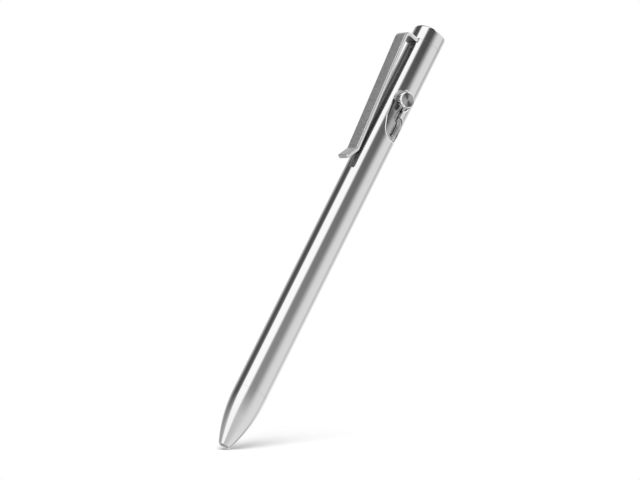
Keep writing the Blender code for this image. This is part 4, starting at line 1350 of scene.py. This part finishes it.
# Light that the polished steel mirrors, by the angle round the pen from the line of sight:
# (degrees, brightness from 0 to 1). Soft boxes are bright, cards and the room's dark side are not.
# The levels were set until the bands on the pen lay as in the photograph.
TAIL_LIGHT = (
    (-180, 0.78), (-139, 0.6), (-123, 0.34), (-110, 0.27), (-99, 0.29), (-88, 0.36), (-82, 0.48),
    (-77, 0.94), (-70, 0.99), (-34, 0.99), (-28, 0.88), (-22, 0.42), (-14, 0.31), (0, 0.29),
    (20, 0.3), (27, 0.44), (36, 0.56), (46, 0.74), (56, 0.82), (66, 0.85), (99, 0.85),
    (110, 0.78), (123, 0.62), (132, 0.78), (150, 0.86))
NOSE_LIGHT = (
    (-180, 0.85), (-139, 0.66), (-123, 0.38), (-110, 0.29), (-99, 0.31), (-88, 0.38), (-82, 0.5),
    (-77, 0.94), (-70, 0.99), (-34, 0.99), (-28, 0.9), (-22, 0.68), (-14, 0.59), (0, 0.58),
    (20, 0.6), (27, 0.68), (36, 0.74), (46, 0.8), (56, 0.83), (66, 0.84), (99, 0.85),
    (110, 0.8), (123, 0.76), (132, 0.86), (150, 0.9))
END_LIGHT = (
    (-180, 0.9), (-139, 0.8), (-123, 0.5), (-110, 0.3), (-88, 0.3), (-77, 0.92), (-34, 0.98),
    (-24, 0.3), (-10, 0.17), (16, 0.17), (26, 0.7), (36, 1.0), (60, 1.0), (110, 1.0), (150, 0.95))
TIP_LIGHT = (
    (-180, 0.95), (-150, 0.72), (-123, 0.62), (-99, 0.62), (-82, 0.7), (-70, 0.97), (-34, 0.97),
    (-24, 0.76), (0, 0.74), (30, 0.79), (60, 0.85), (118, 0.86), (126, 0.42), (142, 0.42),
    (152, 0.9))
FRONT_LIGHT = (
    (-180, 0.6), (-165, 0.66), (-150, 0.7), (-132, 0.4), (-112, 0.5), (-98, 0.9), (-60, 0.95),
    (-48, 0.62), (-34, 0.55), (-22, 0.97), (-8, 0.97), (12, 0.84), (38, 0.84), (54, 1.0),
    (68, 1.0), (86, 0.62), (108, 0.55), (122, 0.62), (140, 0.42), (152, 0.45), (164, 0.78))

# The X of a ray's direction between which each light takes over from those before it
LIGHT_RANGES = ((TAIL_LIGHT, -0.58, -0.43), (NOSE_LIGHT, -0.4, -0.28), (TIP_LIGHT, -0.26, 0.05),
                (FRONT_LIGHT, 0.45, 0.65))


def light_ramp(tree, position, stops):
    """Color Ramp over a full turn from (degrees, brightness) stops."""
    ramp = add(tree, "ShaderNodeValToRGB", {"Fac": position})
    elements = ramp.color_ramp.elements
    while len(elements) > 1:
        elements.remove(elements[-1])
    for index, (degrees, brightness) in enumerate(stops):
        level = to_linear(brightness)
        place = (degrees + 180.0) / 360.0
        element = elements[0] if index == 0 else elements.new(place)
        element.position = place
        element.color = (level, level, level, 1.0)
    return ramp.outputs["Color"]


def to_linear(brightness):
    """Linear level of a display brightness."""
    if brightness <= 0.04045:
        return brightness / 12.92
    return ((brightness + 0.055) / 1.055) ** 2.4


def blended(tree, factor, first, second):
    """Color between two others."""
    mix = add(tree, "ShaderNodeMix", {"Factor": factor, "A": first, "B": second},
              data_type="RGBA")
    return open_socket(mix.outputs, "Result")


def share_of(tree, value, low, high):
    """Share from 0 to 1 of a value's way between two numbers."""
    return add(tree, "ShaderNodeMapRange", {"Value": value, "From Min": low, "From Max": high,
                                            "To Min": 0.0, "To Max": 1.0}).outputs[0]


def make_world(studio):
    """White to the camera, even light on matt surfaces, soft boxes and cards for the gloss."""
    world = bpy.data.worlds.new("studio")
    world.use_nodes = True
    bpy.context.scene.world = world
    tree = world.node_tree
    tree.nodes.clear()
    direction = add(tree, "ShaderNodeTexCoord").outputs["Generated"]
    parts = add(tree, "ShaderNodeSeparateXYZ", {"Vector": direction})
    angle = sum_up(tree, "ARCTAN2", parts.outputs["Z"], parts.outputs["Y"])
    turn = sum_up(tree, "DIVIDE", sum_up(tree, "SUBTRACT", CAMERA_ANGLE, angle), FULL_TURN)
    position = sum_up(tree, "FRACT", sum_up(tree, "ADD", turn, 1.5))
    x = parts.outputs["X"]
    whole = light_ramp(tree, position, END_LIGHT)
    for stops, low, high in LIGHT_RANGES:
        whole = blended(tree, share_of(tree, x, low, high), whole,
                        light_ramp(tree, position, stops))
    ray = add(tree, "ShaderNodeLightPath")
    level = studio.room_level
    gloss = add(tree, "ShaderNodeBackground", {"Color": whole, "Strength": GLOSS_STRENGTH})
    room = add(tree, "ShaderNodeBackground", {"Color": (level, level, level, 1.0),
                                              "Strength": 1.0})
    white = add(tree, "ShaderNodeBackground", {"Color": (1.0, 1.0, 1.0, 1.0), "Strength": 1.0})
    lit = add(tree, "ShaderNodeMixShader", {"Fac": ray.outputs["Is Glossy Ray"]})
    tree.links.new(room.outputs[0], lit.inputs[1])
    tree.links.new(gloss.outputs[0], lit.inputs[2])
    seen = sum_up(tree, "MAXIMUM", ray.outputs["Is Camera Ray"],
                  ray.outputs["Is Transmission Ray"])
    both = add(tree, "ShaderNodeMixShader", {"Fac": seen})
    tree.links.new(lit.outputs[0], both.inputs[1])
    tree.links.new(white.outputs[0], both.inputs[2])
    output = add(tree, "ShaderNodeOutputWorld")
    tree.links.new(both.outputs[0], output.inputs["Surface"])


def floor_finish(studio, center):
    """Pale matt floor that fades out round the tip and is clear from below."""
    material, tree, shader = new_finish("pale floor")
    tree.nodes.remove(shader)
    place = add(tree, "ShaderNodeTexCoord").outputs["Object"]
    offset = add(tree, "ShaderNodeVectorMath", operation="DISTANCE")
    tree.links.new(place, offset.inputs[0])
    offset.inputs[1].default_value = center
    fade = add(tree, "ShaderNodeMapRange", {
        "Value": offset.outputs["Value"], "From Min": studio.floor_reach * FLOOR_FADE_START,
        "From Max": studio.floor_reach, "To Min": 0.0, "To Max": 1.0},
        interpolation_type="SMOOTHSTEP").outputs[0]
    below = add(tree, "ShaderNodeNewGeometry").outputs["Backfacing"]
    clear = sum_up(tree, "MAXIMUM", fade, below)
    matt = add(tree, "ShaderNodeBsdfDiffuse", {"Color": (*studio.floor_color, 1.0)})
    air = add(tree, "ShaderNodeBsdfTransparent")
    mix = add(tree, "ShaderNodeMixShader", {"Fac": clear})
    tree.links.new(matt.outputs[0], mix.inputs[1])
    tree.links.new(air.outputs[0], mix.inputs[2])
    tree.links.new(mix.outputs[0], tree.nodes["Material Output"].inputs["Surface"])
    return material


def make_floor(studio, center, right, ahead):
    """Square of floor under the tip."""
    reach = studio.floor_reach
    corners = [center + right * reach * i + ahead * reach * j
               for i, j in ((-1, -1), (1, -1), (1, 1), (-1, 1))]
    mesh = bpy.data.meshes.new("floor")
    mesh.from_pydata([tuple(corner) for corner in corners], [], [(0, 1, 2, 3)])
    mesh.materials.append(floor_finish(studio, center))
    floor = bpy.data.objects.new("floor", mesh)
    bpy.context.scene.collection.objects.link(floor)
    floor.visible_glossy = False
    floor.visible_diffuse = False


def make_overhead_lamp(studio, center, right, ahead, upwards):
    """Wide lamp over the floor, which gives the shadow and isn't mirrored."""
    lamp = bpy.data.lights.new("overhead lamp", "AREA")
    lamp.shape = "SQUARE"
    lamp.size = studio.overhead_size
    lamp.energy = studio.overhead_power
    obj = bpy.data.objects.new("overhead lamp", lamp)
    turn = Matrix((right, ahead, upwards)).transposed()
    place = center + upwards * studio.overhead_height - ahead * studio.overhead_shift
    obj.matrix_world = Matrix.Translation(place) @ turn.to_4x4()
    obj.visible_glossy = False
    obj.visible_camera = False
    bpy.context.scene.collection.objects.link(obj)


def make_camera():
    """Camera at the photograph's place and angle."""
    camera = bpy.data.cameras.new("camera")
    camera.sensor_width = SENSOR_WIDTH
    camera.lens = CAMERA_LENS
    camera.clip_start = CLIP_START
    turn = Matrix((CAMERA_RIGHT, CAMERA_UP, CAMERA_BACK)).transposed()
    obj = bpy.data.objects.new("camera", camera)
    obj.matrix_world = Matrix.Translation(CAMERA_PLACE) @ turn.to_4x4()
    bpy.context.scene.collection.objects.link(obj)
    bpy.context.scene.camera = obj


def make_stage(sizes, studio):
    """Floor through the lowest point of the tip as the camera sees it, lamp, room and camera."""
    bpy.context.scene.view_settings.view_transform = "Standard"
    make_camera()
    make_world(studio)
    tilt = studio.floor_tilt
    up, back, right = Vector(CAMERA_UP), Vector(CAMERA_BACK), Vector(CAMERA_RIGHT)
    upwards = up * math.cos(tilt) + back * math.sin(tilt)
    ahead = up * math.sin(tilt) - back * math.cos(tilt)
    matrix = pen_matrix(sizes)
    rim = [matrix @ round_the_pen(along(PEN_LENGTH), FULL_TURN * index / RIM_POINTS,
                                  NOSE_TIP_RADIUS) for index in range(RIM_POINTS)]
    center = min(rim, key=lambda point: point.dot(upwards))
    make_floor(studio, center, right, ahead)
    make_overhead_lamp(studio, center, right, ahead, upwards)


# Operators and panel


class PEN_OT_barrel(bpy.types.Operator):
    """Make the polished barrel with its pocket and slot"""

    bl_idname = "pen.barrel"
    bl_label = "Barrel"

    def execute(self, context):
        make_barrel(context.scene.pen_sizes, context.scene.pen_finishes)
        return {"FINISHED"}


class PEN_OT_end_cap(bpy.types.Operator):
    """Make the end cap with its threaded stud"""

    bl_idname = "pen.end_cap"
    bl_label = "End Cap"

    def execute(self, context):
        make_end_cap(context.scene.pen_sizes, context.scene.pen_finishes)
        return {"FINISHED"}


class PEN_OT_clip(bpy.types.Operator):
    """Make the brushed spring clip"""

    bl_idname = "pen.clip"
    bl_label = "Pocket Clip"

    def execute(self, context):
        make_clip(context.scene.pen_sizes, context.scene.pen_finishes)
        return {"FINISHED"}


class PEN_OT_knob(bpy.types.Operator):
    """Make the turned bolt knob"""

    bl_idname = "pen.knob"
    bl_label = "Bolt Knob"

    def execute(self, context):
        make_knob(context.scene.pen_sizes, context.scene.pen_finishes)
        return {"FINISHED"}


class PEN_OT_carrier(bpy.types.Operator):
    """Make the bolt carrier that shows in the slot"""

    bl_idname = "pen.carrier"
    bl_label = "Bolt Carrier"

    def execute(self, context):
        make_carrier(context.scene.pen_sizes, context.scene.pen_finishes)
        return {"FINISHED"}


class PEN_OT_nose(bpy.types.Operator):
    """Make the nose with its thread, and the ring on it"""

    bl_idname = "pen.nose"
    bl_label = "Nose and Ring"

    def execute(self, context):
        make_nose(context.scene.pen_sizes, context.scene.pen_finishes)
        make_nose_ring(context.scene.pen_sizes, context.scene.pen_finishes)
        return {"FINISHED"}


class PEN_OT_refill(bpy.types.Operator):
    """Make the refill's tube, plug, point and ball"""

    bl_idname = "pen.refill"
    bl_label = "Refill"

    def execute(self, context):
        make_refill(context.scene.pen_sizes, context.scene.pen_finishes)
        return {"FINISHED"}


class PEN_OT_spring(bpy.types.Operator):
    """Make the return spring"""

    bl_idname = "pen.spring"
    bl_label = "Return Spring"

    def execute(self, context):
        make_spring(context.scene.pen_sizes, context.scene.pen_finishes)
        return {"FINISHED"}


class PEN_OT_stage(bpy.types.Operator):
    """Make the floor, the lamp, the room's light and the camera"""

    bl_idname = "pen.stage"
    bl_label = "Studio"

    def execute(self, context):
        make_stage(context.scene.pen_sizes, context.scene.pen_studio)
        return {"FINISHED"}


class PEN_PT_panel(bpy.types.Panel):
    """Panel that lists the pieces of the pen"""

    bl_idname = "PEN_PT_panel"
    bl_label = "Bolt Action Pen"
    bl_space_type = "VIEW_3D"
    bl_region_type = "UI"
    bl_category = "Pen"

    def draw(self, context):
        for operator in OPERATORS:
            self.layout.operator(operator.bl_idname)
        for group in (context.scene.pen_sizes, context.scene.pen_finishes,
                      context.scene.pen_studio):
            box = self.layout.box()
            for name in type(group).__annotations__:
                box.prop(group, name)


OPERATORS = (PEN_OT_barrel, PEN_OT_end_cap, PEN_OT_clip, PEN_OT_knob, PEN_OT_carrier,
             PEN_OT_nose, PEN_OT_refill, PEN_OT_spring, PEN_OT_stage)
GROUPS = {"pen_sizes": PenSizes, "pen_finishes": PenFinishes, "pen_studio": PenStudio}


def register():
    for item in (*GROUPS.values(), *OPERATORS, PEN_PT_panel):
        bpy.utils.register_class(item)
    for name, group in GROUPS.items():
        setattr(bpy.types.Scene, name, bpy.props.PointerProperty(type=group))


def unregister():
    for name in GROUPS:
        delattr(bpy.types.Scene, name)
    for item in (PEN_PT_panel, *reversed(OPERATORS), *GROUPS.values()):
        bpy.utils.unregister_class(item)


def main():
    register()
    bpy.ops.pen.barrel()
    bpy.ops.pen.end_cap()
    bpy.ops.pen.clip()
    bpy.ops.pen.knob()
    bpy.ops.pen.carrier()
    bpy.ops.pen.nose()
    bpy.ops.pen.refill()
    bpy.ops.pen.spring()
    bpy.ops.pen.stage()


if __name__ == "__main__":
    main()
